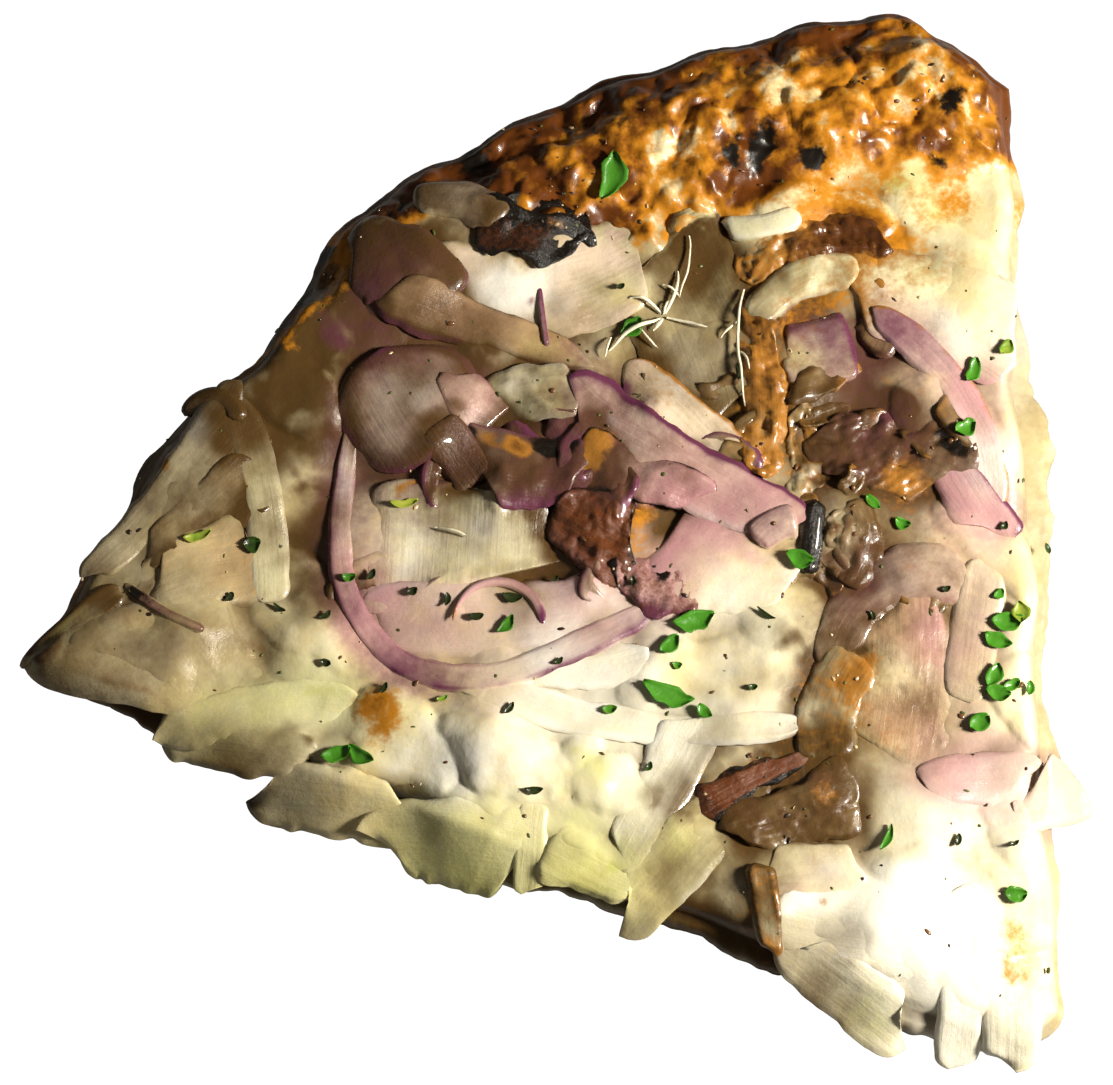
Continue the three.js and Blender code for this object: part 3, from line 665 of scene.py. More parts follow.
def build_cooking():
    group = bpy.data.node_groups.new("cooking", "ShaderNodeTree")
    for name, kind, value in COOKING_INPUTS:
        socket = group.interface.new_socket(name, in_out="INPUT", socket_type=kind)
        socket.default_value = value
    group.interface.new_socket("Color", in_out="OUTPUT", socket_type="NodeSocketColor")
    given = group.nodes.new("NodeGroupInput").outputs
    result = group.nodes.new("NodeGroupOutput").inputs
    place = group.nodes.new("ShaderNodeTexCoord").outputs["Object"]
    fine = noise_node(group, place, given["Grain"], 4.0, 0.6)
    broad = noise_node(group, place, 170, 3.0, 0.55)
    fine = sum_of(group, fine, 1.0, -0.5)
    broad = sum_of(group, broad, 1.0, -0.5)

    def broken(value, by_fine, by_broad):
        return sum_of(group, fine, by_fine, sum_of(group, broad, by_broad, value))

    colour = given["Raw"]
    for kind, by_fine, by_broad, low, high in TINTS:
        amount = ramp(group, broken(given[kind], by_fine, by_broad), low, high)
        colour = blend_colour(group, amount, colour, given[kind + " Tint"])
    browned = broken(given["Browned"], 0.55, 0.25)
    colour = blend_colour(group, ramp(group, browned, 0.15, 0.50), colour, given["Gold"])
    colour = blend_colour(group, ramp(group, browned, 0.45, 0.95), colour, given["Brown"])
    colour = add_node(group, "ShaderNodeGamma", Color=colour, Gamma=1.22).outputs["Color"]
    charred = ramp(group, broken(given["Charred"], 0.6, 0.3), 0.35, 0.65)
    colour = blend_colour(group, charred, colour, BLACK)
    group.links.new(colour, result["Color"])
    return group


cooking = build_cooking()
print("shader group:", cooking.name)


def cook(tree, raw, **settings):
    """Places the cooking group in a material; settings are its own tints."""
    node = tree.nodes.new("ShaderNodeGroup")
    node.node_tree = cooking
    tree.links.new(raw, node.inputs["Raw"])
    for kind in KINDS:
        tree.links.new(attribute(tree, kind), node.inputs[kind.capitalize()])
    for key, value in settings.items():
        node.inputs[key.replace("_", " ")].default_value = value
    return node.outputs["Color"]


def soft_shader(tree, colour, height, roughness, bump, coat):
    """A moist surface with a fine relief under a thin coat of oil."""
    normal = relief_of(tree, height, bump, 0.0002)
    show_surface(tree, add_node(tree, "ShaderNodeBsdfPrincipled", Base_Color=colour,
                                Normal=normal, Roughness=roughness, Specular_IOR_Level=0.3,
                                Coat_Weight=coat, Coat_Roughness=0.05))


# %% Cheese material
def cream_colour(tree, place):
    patches = noise_node(tree, place, 90, 4, 0.6)
    return blend_colour(tree, ramp(tree, patches, 0.35, 0.65),
                        (0.82, 0.70, 0.40, 1), (0.90, 0.84, 0.60, 1))


def cheese_material():
    material, tree = new_material("melted_cheese")
    place = object_place(tree)
    colour = cook(tree, cream_colour(tree, place), Grain=900,
                  Gold=(0.60, 0.28, 0.030, 1), Brown=(0.17, 0.060, 0.012, 1))
    coarse = noise_node(tree, place, 420, 3, 0.5)
    height = sum_of(tree, coarse, 1.0, noise_node(tree, place, 1500, 4, 0.6))
    roughness = sum_of(tree, coarse, 0.4, 0.14)
    soft_shader(tree, colour, height, roughness, 0.3, 0.12)
    return material


# %% Onion materials
def onion_material(name, flesh, gold, brown, coat, bump, grain):
    """Onion flesh with fine lines along its length; where it's sunk, cheese covers it."""
    material, tree = new_material(name)
    place = object_place(tree)
    along = add_node(tree, "ShaderNodeUVMap", uv_map="along").outputs["UV"]
    stretch = add_node(tree, "ShaderNodeMapping", Vector=along, Scale=(0.10, 1.5, 1))
    fibres = noise_node(tree, stretch.outputs[0], 1.0, 4, 0.55, 0.3)
    clouds = noise_node(tree, place, 150, 4, 0.6)
    pale = tuple(min(1, c * 1.12) for c in flesh[:3]) + (1,)
    dull = tuple(c * k for c, k in zip(flesh[:3], (0.80, 0.75, 0.64))) + (1,)
    body = blend_colour(tree, ramp(tree, fibres, 0.3, 0.7), flesh, pale)
    body = blend_colour(tree, ramp(tree, clouds, 0.44, 0.74), body, dull)
    specks = noise_node(tree, place, 520, 3, 0.7)
    body = blend_colour(tree, ramp(tree, specks, 0.60, 0.72), body, pale)
    body = blend_colour(tree, attribute(tree, "sunk"), body, cream_colour(tree, place))
    colour = cook(tree, body, Gold=gold, Brown=brown, Grain=grain)
    speckle = noise_node(tree, place, 1300, 5, 0.7)
    height = sum_of(tree, fibres, 1.0, speckle)
    roughness = sum_of(tree, speckle, 0.45, 0.06)
    soft_shader(tree, colour, height, roughness, bump, coat)
    return material


GOLD = (0.44, 0.22, 0.05, 1)
BROWN = (0.13, 0.052, 0.017, 1)
RUST = (0.20, 0.075, 0.030, 1)
UMBER = (0.065, 0.028, 0.015, 1)
onion_looks = {
    "pale": onion_material("onion_flesh", (0.78, 0.73, 0.50, 1), GOLD, BROWN, 0.35, 0.45, 700),
    "red": onion_material("onion_red_flesh", (0.78, 0.65, 0.52, 1), GOLD, BROWN, 0.4, 0.5, 700),
    "browned": onion_material("onion_caramelised", (0.66, 0.49, 0.28, 1), GOLD, BROWN,
                              0.35, 0.5, 1000),
    "charred": onion_material("onion_seared", (0.30, 0.17, 0.115, 1), RUST, UMBER,
                              0.45, 1.0, 1200),
}
print("onion materials:", ", ".join(onion_looks))

# %% [markdown]
# ## Onion
# A slice of onion is a curved strip with fine lines along it. Its middle line is an arc, its
# width tapers to both ends, and its back arches or dishes. Cloth simulation would be slow for
# so many small stiff pieces, so each is draped by averaging: the heights under it are
# smoothed, then pushed up wherever they would cut into the pile, several times over. Points
# on a piece are given by t, from -1 at its start to 1 at its end, and v, from -1 at its
# right side to 1 at its left; s and across are the same in millimetres.

# %% The middle line and outline of a piece
POINT_STEP = 0.42
LAST_T = 0.985


def strip_plan(shape, t, v, half_width):
    """Where the points lie in plan; corner above 1 bends the line mostly at its middle.
    slants shears the two ends, so that a piece can be cut off at an angle."""
    fine = np.linspace(-1.4, 1.4, 337)  # past both ends, for the slants
    slants = shape.get("slants", (0.0, 0.0))
    t = t + mix(*slants, (t + 1) / 2) * v * shape["width"] / shape["length"]
    corner = shape.get("corner", 0.05)
    turned = np.radians(shape["bend"]) / 2 * np.tanh(corner * fine) / math.tanh(corner)
    angle = math.radians(shape["heading"]) + turned
    step = shape["length"] / 2 * (fine[1] - fine[0])
    line_x = np.cumsum(np.cos(angle)) * step
    line_y = np.cumsum(np.sin(angle)) * step
    middle = len(fine) // 2
    here = np.interp(t, fine, angle)
    offset = v * half_width
    x = shape["at"][0] + np.interp(t, fine, line_x - line_x[middle]) - np.sin(here) * offset
    y = shape["at"][1] + np.interp(t, fine, line_y - line_y[middle]) + np.cos(here) * offset
    return x, y


def ragged_width(shape, t, v, seed):
    """Half the width at each point, tapering to the ends, with an uneven edge."""
    s = t * shape["length"] / 2
    ends = 2.0 + 16 * shape.get("blunt", 0.7) ** 2
    side = np.where(v > 0, 0, 50)
    uneven = 1.3 * noise(s, side, 8, seed) + np.abs(v) ** 6 * (
        0.7 * noise(s, side + 9, 2.8, seed + 1) + 0.35 * noise(s, side + 20, 1.3, seed + 2))
    taper = (1 - np.abs(t) ** ends) ** 0.6
    taper = taper * mix(*shape.get("widths", (1, 1)), (t + 1) / 2)
    swing = shape.get("ragged", 0.14) * min(shape["width"], 8) * 0.54
    return taper * (0.54 * shape["width"] + swing * uneven)


# %% Draping and relief
STIFFNESS = 14
COOKED_FLAT = 0.55


def drape(ground, sink):
    """A stiff sheet laid on ground: smoothed, and pushed out of what it rests on."""
    sheet = ground.copy()
    for _ in range(5):
        sheet = np.maximum(blur(sheet, STIFFNESS), ground - sink)
    return blur(sheet, 2)


def facets(s, across, size, seed):
    """Flat planes about size across that meet in creases, from -1 to 1."""
    lattice = np.random.default_rng(seed).uniform(-1, 1, (LATTICE, LATTICE))
    turn = 2 * math.pi * lattice[0, 0]
    gx, gy, ix, iy = lattice_cells(s * math.cos(turn) - across * math.sin(turn),
                                   s * math.sin(turn) + across * math.cos(turn),
                                   size, FAR_OFF + 0.5)
    corner = corner_values(lattice, ix, iy)
    fx, fy = gx - ix, gy - iy
    near = corner[0, 0] + fx * (corner[1, 0] - corner[0, 0]) + fy * (corner[0, 1] - corner[0, 0])
    far = (corner[1, 1] + (1 - fx) * (corner[0, 1] - corner[1, 1])
           + (1 - fy) * (corner[1, 0] - corner[1, 1]))
    return np.where(fx + fy < 1, near, far)


def own_relief(shape, t, v, s, across, seed):
    """The piece's own form above what it lies on. Cooking flattens its arch a good deal."""
    arch = COOKED_FLAT * shape.get("arch", 0.6)
    tilt = shape.get("tilt", 0.0)
    crinkle = shape.get("crinkle", 0.06)
    ridges = shape.get("ridges", 0.05)
    relief = np.where(arch > 0, arch * (1 - v * v), -arch * v * v) * (1 - 0.4 * t * t)
    relief += np.abs(tilt) * (v * np.sign(tilt) + 1) / 2
    relief += 0.20 * rough(s, across, 9, seed + 3)
    relief += shape.get("folded", 0.35) * facets(s, across, 7, seed + 33)
    creased = 1 - 2 * np.abs(noise(s * 0.8, across, 3.4, seed + 4))
    relief += crinkle * (rough(s, across, 3.0, seed + 5) + 0.8 * creased)
    bent = across + 1.5 * noise(s, across, 9, seed + 6)
    wave = noise(s * 0.15, bent, shape.get("ridge_size", 1.8), seed + 7)
    pits = bubbles(s, across, 2.1, seed + 8) - 0.5 + 0.5 * bubbles(s, across, 0.9, seed + 9)
    torn = rough(s, across, 2.2, seed + 10) - np.abs(noise(s, across, 1.1, seed + 11))
    return relief + ridges * wave + shape.get("grain", 0.0) * (0.4 * pits + 0.7 * torn)


# %% Where a piece is coloured
def dab_amount(dab, shape, t, v, s, across, seed):
    """One dab of colour: all over, along an edge or at an end, or round a spot (t, v)."""
    amount, where = dab[1], dab[2:]
    if not where:
        return amount * (1 + 0.35 * rough(s, across, 6, seed))
    half_length = shape["length"] / 2
    half_width = shape["width"] / 2
    apart = {
        "left": (1 - v) * half_width,
        "right": (1 + v) * half_width,
        "start": (1 + t) * half_length,
        "end": (1 - t) * half_length,
        "edges": np.minimum((1 - np.abs(v)) * half_width, (1 - np.abs(t)) * half_length),
    }
    if isinstance(where[0], str):
        distance = apart[where[0]]
    else:
        spot_t, spot_v = where[0]
        distance = np.hypot((t - spot_t) * half_length, (v - spot_v) * half_width)
    distance = distance * (1 + 0.5 * rough(s, across, 3.5, seed))
    return amount * np.exp(-((distance / where[1]) ** 2))


# Thin edges: pale pieces get painted light along them, browned ones painted shade.
THIN_EDGES = {
    "pale": [("white", 0.45, "edges", 0.5)],
    "red": [("skin", 0.3, "left", 0.45), ("pink", 0.3, "edges", 0.6)],
    "browned": [("shade", 0.5, "edges", 0.6)],
    "charred": [("charred", 0.35, "edges", 0.5)],
}


def onion_values(shape, x, y, t, v, s, across, seed):
    values = marks_at(x, y, shape.get("mottled", 0.4))
    for kind in KINDS:
        values[kind] *= shape.get("stained", 0.8)
    for k, dab in enumerate(shape["dabs"] + THIN_EDGES[shape["look"]]):
        values[dab[0]] += dab_amount(dab, shape, t, v, s, across, seed + 40 + 5 * k)
    return {kind: np.clip(value, 0, 1.2) for kind, value in values.items()}


# %% A thin solid between two heights
def closed_sheet(x, y, top, base, bulge):
    """A sheet over a grid of points, its edge rounded by a ring that stands out by bulge."""
    rows, columns = x.shape[0] - 1, x.shape[1] - 1
    over = np.stack([x, y, top], -1).reshape(-1, 3)
    under = np.stack([x, y, base], -1).reshape(-1, 3)
    loop = edge_loop(rows, columns)
    ahead = np.roll(over[loop], -1, 0) - np.roll(over[loop], 1, 0)
    outward = np.stack([ahead[:, 1], -ahead[:, 0], ahead[:, 2] * 0], 1)
    outward /= np.maximum(1e-6, np.linalg.norm(outward, axis=1))[:, None]
    edge = (over[loop] + under[loop]) / 2 + outward * bulge
    ring = np.arange(len(loop)) + 2 * len(over)
    faces = [grid_faces(rows, columns), grid_faces(rows, columns, len(over), up=False),
             join_loops(loop, ring), join_loops(ring, loop + len(over))]
    return np.concatenate([over, under, edge]), faces, loop


# %% Lay one piece on the pile
SEEDS_EACH = 60
laid = []
cover = np.zeros_like(pile)
flood = np.zeros_like(pile)
# Each piece's colours, painted shade and light among them, to seep into the cheese.
juice_and_shade = {kind: np.zeros_like(pile) for kind in KINDS}


def shape_onion(shape, seed):
    """Points, faces, values and UV of one piece, draped on the pile, which it raises. It
    stops at LAST_T, just short of where its width would be 0."""
    rows = max(8, round(shape["length"] / POINT_STEP))
    columns = max(6, round(shape["width"] / POINT_STEP))
    t, v = np.meshgrid(np.linspace(-LAST_T, LAST_T, rows + 1),
                       np.linspace(-1, 1, columns + 1), indexing="ij")
    half_width = ragged_width(shape, t, v, seed)
    s = t * shape["length"] / 2
    across = v * half_width
    x, y = strip_plan(shape, t, v, half_width)
    thick = shape.get("thick", 0.5)
    full = thick * (0.4 + 0.6 * (1 - v**10) * (1 - t**16))
    sink = 0.4 + shape.get("sink", 0.0)
    base = drape(read_map(pile, x, y), sink) + own_relief(shape, t, v, s, across, seed)
    base = base - 0.6 * shape.get("melt", 0.7) * np.maximum(np.abs(v) ** 9, np.abs(t) ** 14)
    top = base + full
    points, faces, loop = closed_sheet(x, y, top, base, 0.2 * thick)
    raise_map(pile, x, y, top)

    values = onion_values(shape, x, y, t, v, s, across, seed)
    cells = cells_of(x, y)
    cover[cells] = 1
    flood[cells] = shape.get("flood", 0.0)
    for kind in KINDS:
        juice_and_shade[kind][cells] = values[kind].ravel()
    stored = {key: np.r_[value.ravel(), value.ravel(), value.ravel()[loop]]
              for key, value in values.items()}
    lines = np.stack([s, across], -1).reshape(-1, 2)
    # Each piece starts elsewhere in the pattern, so no two have the same fibres.
    uv = np.concatenate([lines, lines, lines[loop]]) + seed % 97
    return points, faces, stored, uv


def uneven_slants(count):
    """How the two ends of a piece are cut, different for each piece."""
    return tuple(0.9 * (count * step % 1 - 0.5) for step in (0.618, 0.414))


def lay_onion(name, look, at, heading, length, width, bend, dabs=(), **more):
    """at is the middle of the piece, heading the direction of its length from +X."""
    shape = dict(look=look, at=at, heading=heading, length=length, width=width, bend=bend,
                 dabs=list(dabs), slants=uneven_slants(len(laid))) | more
    laid.append((name, look, shape_onion(shape, 100 + SEEDS_EACH * len(laid))))


# %% [markdown]
# ## Slivers and scraps
# Chopped onion is never all big slices. Short slivers lie in the gaps, half sunk in the
# cheese, and take the colour of what cooked round them. Curls, knobs and shreds lie on top.
# All of one look become a single mesh, because nobody will ever pick up just one of them.


# %% Lay slivers and scraps
scraps = {look: [] for look in onion_looks}


def lay_scrap(look, at, heading, length, width, bend, dabs=(), **more):
    """A small bit of onion that belongs to no node."""
    shape = dict(look=look, at=at, heading=heading, length=length, width=width, bend=bend,
                 dabs=list(dabs), **more)
    seed = 7001 + SEEDS_EACH * sum(len(parts) for parts in scraps.values())
    scraps[look].append(shape_onion(shape, seed))


def scatter_slivers(look, seed, count, middle, reach, lengths, **more):
    """Lays slivers at random round middle, as far as reach (x, y) from it. They keep 3.5 mm
    off the cuts, which is 200 / far degrees, and stay inside the rim."""
    dice = np.random.default_rng(seed)
    for _ in range(count):
        at = tuple(middle + dice.normal(0, 0.5, 2) * reach)
        length = dice.uniform(*lengths)
        heading, bend = dice.uniform(-180, 180), dice.uniform(-120, 120)
        width = length * dice.uniform(0.3, 0.7)
        form = dict(blunt=dice.uniform(0.2, 1.0), arch=dice.uniform(-0.8, 0.6),
                    tilt=dice.uniform(-1.2, 1.2), sink=dice.uniform(0, 0.6),
                    slants=tuple(dice.uniform(-1, 1, 2)), crinkle=dice.uniform(0.1, 0.7))
        far = math.hypot(*at)
        turn = abs(math.degrees(math.atan2(-at[0], at[1])))
        if turn < HALF_ANGLE - 200 / max(far, 12) and far < 146:
            lay_scrap(look, at, heading, length, width, bend, thick=0.4, ragged=0.3,
                      stained=1.0, **form, **more)


scatter_slivers("browned", 6, 6, (-58, 124), (22, 16), (6, 12), dabs=[("shade", 0.3)])
scatter_slivers("red", 7, 22, (-4, 112), (24, 24), (5, 11),
                dabs=[("shade", 0.4), ("skin", 0.2), ("skin", 0.5, "left", 0.8)])
scatter_slivers("browned", 8, 18, (30, 92), (18, 26), (5, 11),
                dabs=[("shade", 0.4), ("browned", 0.3, "start", 3)])
print("slivers:", sum(len(parts) for parts in scraps.values()))

# %% [markdown]
# ## Laying the pieces
# Each call lays one piece: the middle of its length, measured from the tip, the way it
# points in degrees from +X, its length and width, and how far it bends. Lower pieces come
# first. Its dabs say where it's pink, purple, browned or burnt, and where painted shade and
# painted highlights lie on it. Its form has names too: widths at its two ends, blunt ends,
# slants of its cut ends, arch of its back, tilt of its left side, melt of its edges, folded
# and crinkle for creases, grain for a crumbly top, sink for how deep it lies, and flood for
# the cheese that rises round it.

# %% The left corner, where the slice is thin and brown
lay_onion(
    "onion_corner_slice", "browned", (-74.5, 120.7), -33, 31.9, 24, 0, arch=1.4, melt=1.2,
    folded=0.1, sink=0.2, flood=0.6, widths=(0.3, 1), blunt=0.6, slants=(0.2, -0.3),
    dabs=[("shade", 0.3), ("pink", 0.2), ("browned", 0.08)])
# Its white spots are painted glints.
lay_onion(
    "onion_corner_grey", "pale", (-58.3, 139), -163, 34.9, 8.8, -14, arch=0.2, tilt=-0.6,
    widths=(1, 0.55), slants=(0.6, -0.3), blunt=0.8, melt=0.5, flood=0.25,
    dabs=[("shade", 0.3), ("pink", 0.25), ("white", 0.5, (-0.5, -0.6), 3),
          ("white", 0.4, (0.2, 0.2), 3), ("browned", 0.5, (-0.1, -0.9), 1.2)])
lay_onion(
    "onion_corner_tan", "browned", (-56.6, 134), -175, 19.6, 9.4, -10, arch=0.3, melt=0.8,
    widths=(1, 0.71), blunt=0.8, slants=(0.3, 0.3), flood=0.25,
    dabs=[("shade", 0.5), ("shade", 0.3, "left", 3)])
lay_onion(
    "onion_corner_gold", "browned", (-60.1, 127.1), -17, 15.7, 14, -18, widths=(0.76, 1),
    flood=0.35,
    dabs=[("green", 0.4, "left", 1.4), ("green", 0.2), ("white", 0.2), ("shade", 0.2, "end", 6)])
# Its white dabs are painted glints, with a painted highlight along its left edge.
lay_onion(
    "onion_corner_fold", "browned", (-81.6, 130.2), 2, 18.4, 4.6, 0, tilt=0.4, arch=-0.3, melt=0.6,
    widths=(0.47, 1), blunt=0.6, thick=0.35, slants=(0, 0), folded=0.5,
    dabs=[("shade", 0.45), ("green", 0.45), ("white", 0.9, (0.45, -0.3), 1.2),
          ("white", 0.8, (0.1, -0.5), 0.8), ("white", 0.7, "left", 0.6),
          ("white", 0.8, (0.7, 0), 0.9)])

# %% The lower left edge, pale and greenish
lay_onion(
    "onion_low_grey", "pale", (-70.6, 102.1), -45, 20.3, 8.5, 0, arch=0.2, melt=1.3,
    widths=(0.61, 1), blunt=0.5, folded=0.4, slants=(0.5, 0.3), flood=0.9, sink=0.5, ragged=0.22,
    dabs=[("shade", 0.62), ("green", 0.3), ("shade", 0.5, "right", 3)])
lay_onion(
    "onion_low_tan", "pale", (-64, 88.2), -44, 23, 9.7, 0, arch=0.2, melt=1.3, widths=(0.78, 1),
    blunt=0.45, folded=0.5, flood=0.9, sink=0.4, ragged=0.22, slants=(0.4, -0.5),
    dabs=[("shade", 0.25, "start", 7), ("pink", 0.15, (-0.3, 0.3), 4), ("white", 0.2, "end", 6),
          ("green", 0.25, "end", 5)])
lay_onion(
    "onion_green_strip", "pale", (-66, 106), -25, 30, 7, -41, blunt=0.4, arch=0.3, melt=1,
    thick=0.35, folded=0.1, flood=0.35,
    dabs=[("green", 0.45), ("white", 0.3), ("shade", 0.3, "start", 5)])
# Its white spot is a painted highlight.
lay_onion(
    "onion_green_lump", "pale", (-53, 73.3), -41, 23, 13, -10, arch=0.7, melt=1.5,
    widths=(0.78, 1), blunt=0.5, folded=0.4, flood=0.8, ragged=0.22, slants=(-0.5, 0.4),
    dabs=[("green", 0.45), ("white", 0.4, (-0.2, 0.3), 3.5), ("shade", 0.35, (0.1, -0.9), 3),
          ("shade", 0.25, "start", 4)])
lay_onion(
    "onion_green_side", "pale", (-39, 58.6), -60, 15.2, 9.1, 0, arch=0.4, melt=1.3,
    widths=(1, 0.67), folded=0.5, flood=0.8, sink=0.3, blunt=0.5, ragged=0.2,
    dabs=[("green", 0.6), ("shade", 0.3, "right", 2)])
lay_onion(
    "onion_olive_panel", "pale", (22, 118), -105, 29, 19, -20, arch=-0.3, ridges=0.02, blunt=0.9,
    thick=0.35,
    dabs=[("shade", 0.3), ("green", 0.12), ("shade", 0.35, "right", 2.5),
          ("shade", 0.3, "start", 7), ("white", 0.3, (-0.6, 0.3), 2)])

# %% The tip
lay_onion(
    "onion_white_low", "pale", (-11.9, 30.3), -45, 27.6, 14.4, 0, arch=0.9, melt=1.3,
    widths=(0.74, 1), blunt=0.6, folded=0.5, flood=0.9,
    dabs=[("browned", 0.45, (-0.45, 0.25), 1.2), ("white", 0.7)])
lay_onion(
    "onion_fold_low", "pale", (-19.1, 24.1), -70, 19.5, 9.1, 0, arch=0.3, tilt=0.3, melt=0.8,
    widths=(0.77, 1), blunt=0.55, thick=0.35, folded=0.5, flood=0.5, slants=(0.5, -0.4),
    dabs=[("shade", 0.1), ("green", 0.25, (0.3, 0.6), 3), ("white", 0.3)])
lay_onion(
    "onion_tip_strip", "pale", (-4, 16.9), -128, 25.9, 6.7, 0, blunt=0.9, widths=(0.91, 1),
    arch=0.2, melt=0.8, thick=0.4, folded=0.15, flood=0.7, dabs=[("green", 0.12), ("white", 0.5)])
lay_onion(
    "onion_tip_side", "pale", (-2.9, 7.1), -126, 10.9, 8.2, 0, widths=(1, 0.85), melt=1, flood=0.6,
    dabs=[("green", 0.25), ("white", 0.4)])
lay_onion(
    "onion_peach_right", "red", (52.7, 99.7), -55, 26.4, 16.7, -30, arch=0.2, melt=0.4,
    widths=(0.82, 1), thick=0.4, folded=0.3, flood=0.25,
    dabs=[("browned", 0.45, "left", 0.8), ("browned", 0.3, "start", 5), ("pink", 0.2),
          ("green", 0.3, (-0.4, 0.4), 5)])

# %% The long pale crescents and strips
lay_onion(
    "onion_crescent", "pale", (-23.6, 73.4), -43, 53.2, 5.2, 36, tilt=-0.5, arch=0.2, melt=0.5,
    blunt=0.5, thick=0.4, folded=0.1, flood=0.35,
    dabs=[("pink", 0.45, "start", 14), ("white", 0.35), ("pink", 0.2)])
lay_onion(
    "onion_ivory_inner", "pale", (-25.9, 87.4), -31, 22.1, 12.2, 30, arch=0.3, melt=0.6,
    widths=(0.5, 1), thick=0.35, folded=0.2, blunt=0.6, flood=0.35, dabs=[("white", 0.5)])
lay_onion(
    "onion_left_strip", "pale", (-48, 131.1), -114, 31.1, 5.2, -22, melt=0.3, arch=0.25, blunt=0.9,
    thick=0.4, folded=0.15,
    dabs=[("shade", 0.15), ("green", 0.15), ("white", 0.35, "start", 6),
          ("white", 0.3, "right", 1)])
lay_onion(
    "onion_strip_low", "pale", (-44.6, 66.1), -129, 12.5, 4, 0, melt=0.1, blunt=1, arch=0,
    thick=0.35, folded=0.15, slants=(0.1, -0.2), dabs=[("green", 0.2)])
lay_onion(
    "onion_diagonal_a", "pale", (-24.4, 62.8), -154, 24.3, 8.5, 0, blunt=0.8, arch=0.1, melt=0.3,
    widths=(1, 0.75), thick=0.35, folded=0.5, slants=(-0.5, 0.4),
    dabs=[("white", 0.45), ("green", 0.9, (0.93, 0.3), 2.2), ("shade", 0.2, "left", 2)])
lay_onion(
    "onion_diagonal_b", "pale", (-26.3, 53.6), -168, 25.5, 10, 0, blunt=0.6, arch=0.1, melt=0.3,
    widths=(0.76, 1), thick=0.35, folded=0.4, slants=(-0.7, 0.6), flood=0.35,
    dabs=[("green", 0.3), ("white", 0.15), ("shade", 0.2, "start", 6)])

# %% Red onion in the middle: the big ring and what it holds
# Its two white spots are painted highlights on its glossy ridges.
lay_onion(
    "onion_ring_floor", "pale", (-27.3, 110.1), -127, 16.8, 30.4, 0, arch=0.3, ridges=0.25,
    blunt=0.9, widths=(0.75, 1), folded=0.25, ridge_size=4.5,
    dabs=[("pink", 0.5, "right", 5), ("shade", 0.15), ("skin", 0.35, (-0.9, -0.6), 5),
          ("browned", 0.45, (-0.85, -0.75), 2), ("white", 0.5, (0.4, -0.45), 4),
          ("white", 0.4, (-0.2, 0.25), 3)])
lay_onion(
    "onion_ring_lower", "red", (-28, 95.8), -32, 41.6, 11.9, 26, arch=0.2, melt=0.8,
    widths=(1, 0.72), folded=0.15, thick=0.4, flood=0.35,
    dabs=[("pink", 0.45), ("white", 0.25), ("green", 0.2, (-0.7, -0.3), 3)])
lay_onion(
    "onion_pink_middle", "red", (4.6, 85.2), -40, 23.1, 18.2, 0, arch=0.5, melt=1,
    widths=(0.92, 1), sink=0.2, folded=0.2, blunt=0.6, flood=0.6,
    dabs=[("pink", 0.5, "start", 12), ("pink", 0.35, "left", 4), ("white", 0.3, "end", 9),
          ("skin", 0.2, "left", 1)])
lay_onion(
    "onion_ring_big", "red", (-44.9, 99.8), -68, 84, 4.6, 131, corner=2.2, thick=0.45, melt=0.4,
    arch=0.15, blunt=0.6, tilt=-0.3, widths=(0.7, 1), folded=0.1,
    dabs=[("pink", 0.45), ("skin", 0.1), ("skin", 0.2, "right", 2), ("skin", 0.55, (0.05, -1), 7),
          ("skin", 0.45, "right", 0.6), ("white", 0.55, "start", 18), ("skin", 0.2, "end", 12),
          ("white", 0.3, (0.5, 0), 6)])
lay_onion(
    "onion_ring_small", "red", (-26, 101), -38, 20, 1.2, -178, arch=0.3, melt=0, thick=0.4,
    widths=(0.4, 1.5), dabs=[("pink", 0.4), ("skin", 0.9, "end", 5), ("browned", 0.4, "start", 3)])

# %% Red onion above the ring
lay_onion(
    "onion_petal_top", "red", (2.4, 137.2), -29, 39, 15, 60, melt=0.3, arch=0.8, blunt=0.95,
    thick=0.4, slants=(0.5, 0.2),
    dabs=[("pink", 0.22, "left", 5), ("skin", 0.6, "start", 0.7), ("pink", 0.3, "start", 3),
          ("skin", 0.8, (0.12, -0.6), 0.9), ("skin", 0.6, (0.1, -0.2), 0.7),
          ("white", 0.7, (-0.2, -0.1), 8), ("browned", 0.2, (-0.3, 0.7), 2.4)])
# Its white spots are painted highlights, and its left side is darkened by painted shade.
lay_onion(
    "onion_lobe_top_left", "red", (-11, 150), -70, 17, 13, -37, arch=1.6, melt=0.8, sink=0.2,
    folded=0.6, blunt=0.6, flood=0.25,
    dabs=[("shade", 0.35), ("skin", 0.3), ("pink", 0.35), ("white", 0.6, (-0.35, 0.2), 2.2),
          ("shade", 0.6, "left", 4), ("white", 0.5, (0.1, 0.4), 1.5)])
lay_onion(
    "onion_tan_strip", "browned", (-5, 135.2), -51, 32.7, 9.4, 0, arch=0.3, melt=1.2,
    widths=(1, 0.46), sink=0.3, blunt=0.6, folded=0.2, flood=0.6,
    dabs=[("pink", 0.25), ("shade", 0.22), ("green", 0.35, (0.45, -0.2), 4),
          ("skin", 0.9, "end", 2.5), ("charred", 1, "end", 1.4), ("skin", 0.5, "right", 0.6)])
# Its white spots are painted glints.
lay_onion(
    "onion_white_middle", "pale", (-6.1, 122.9), -26, 15.1, 8.5, 0, arch=0.5, crinkle=0.25,
    melt=0.3, widths=(0.89, 1), folded=0.5,
    dabs=[("shade", 0.22), ("white", 0.5, (-0.3, 0.4), 2), ("white", 0.4, (0.2, 0.5), 1.5),
          ("skin", 0.3, "end", 3)])
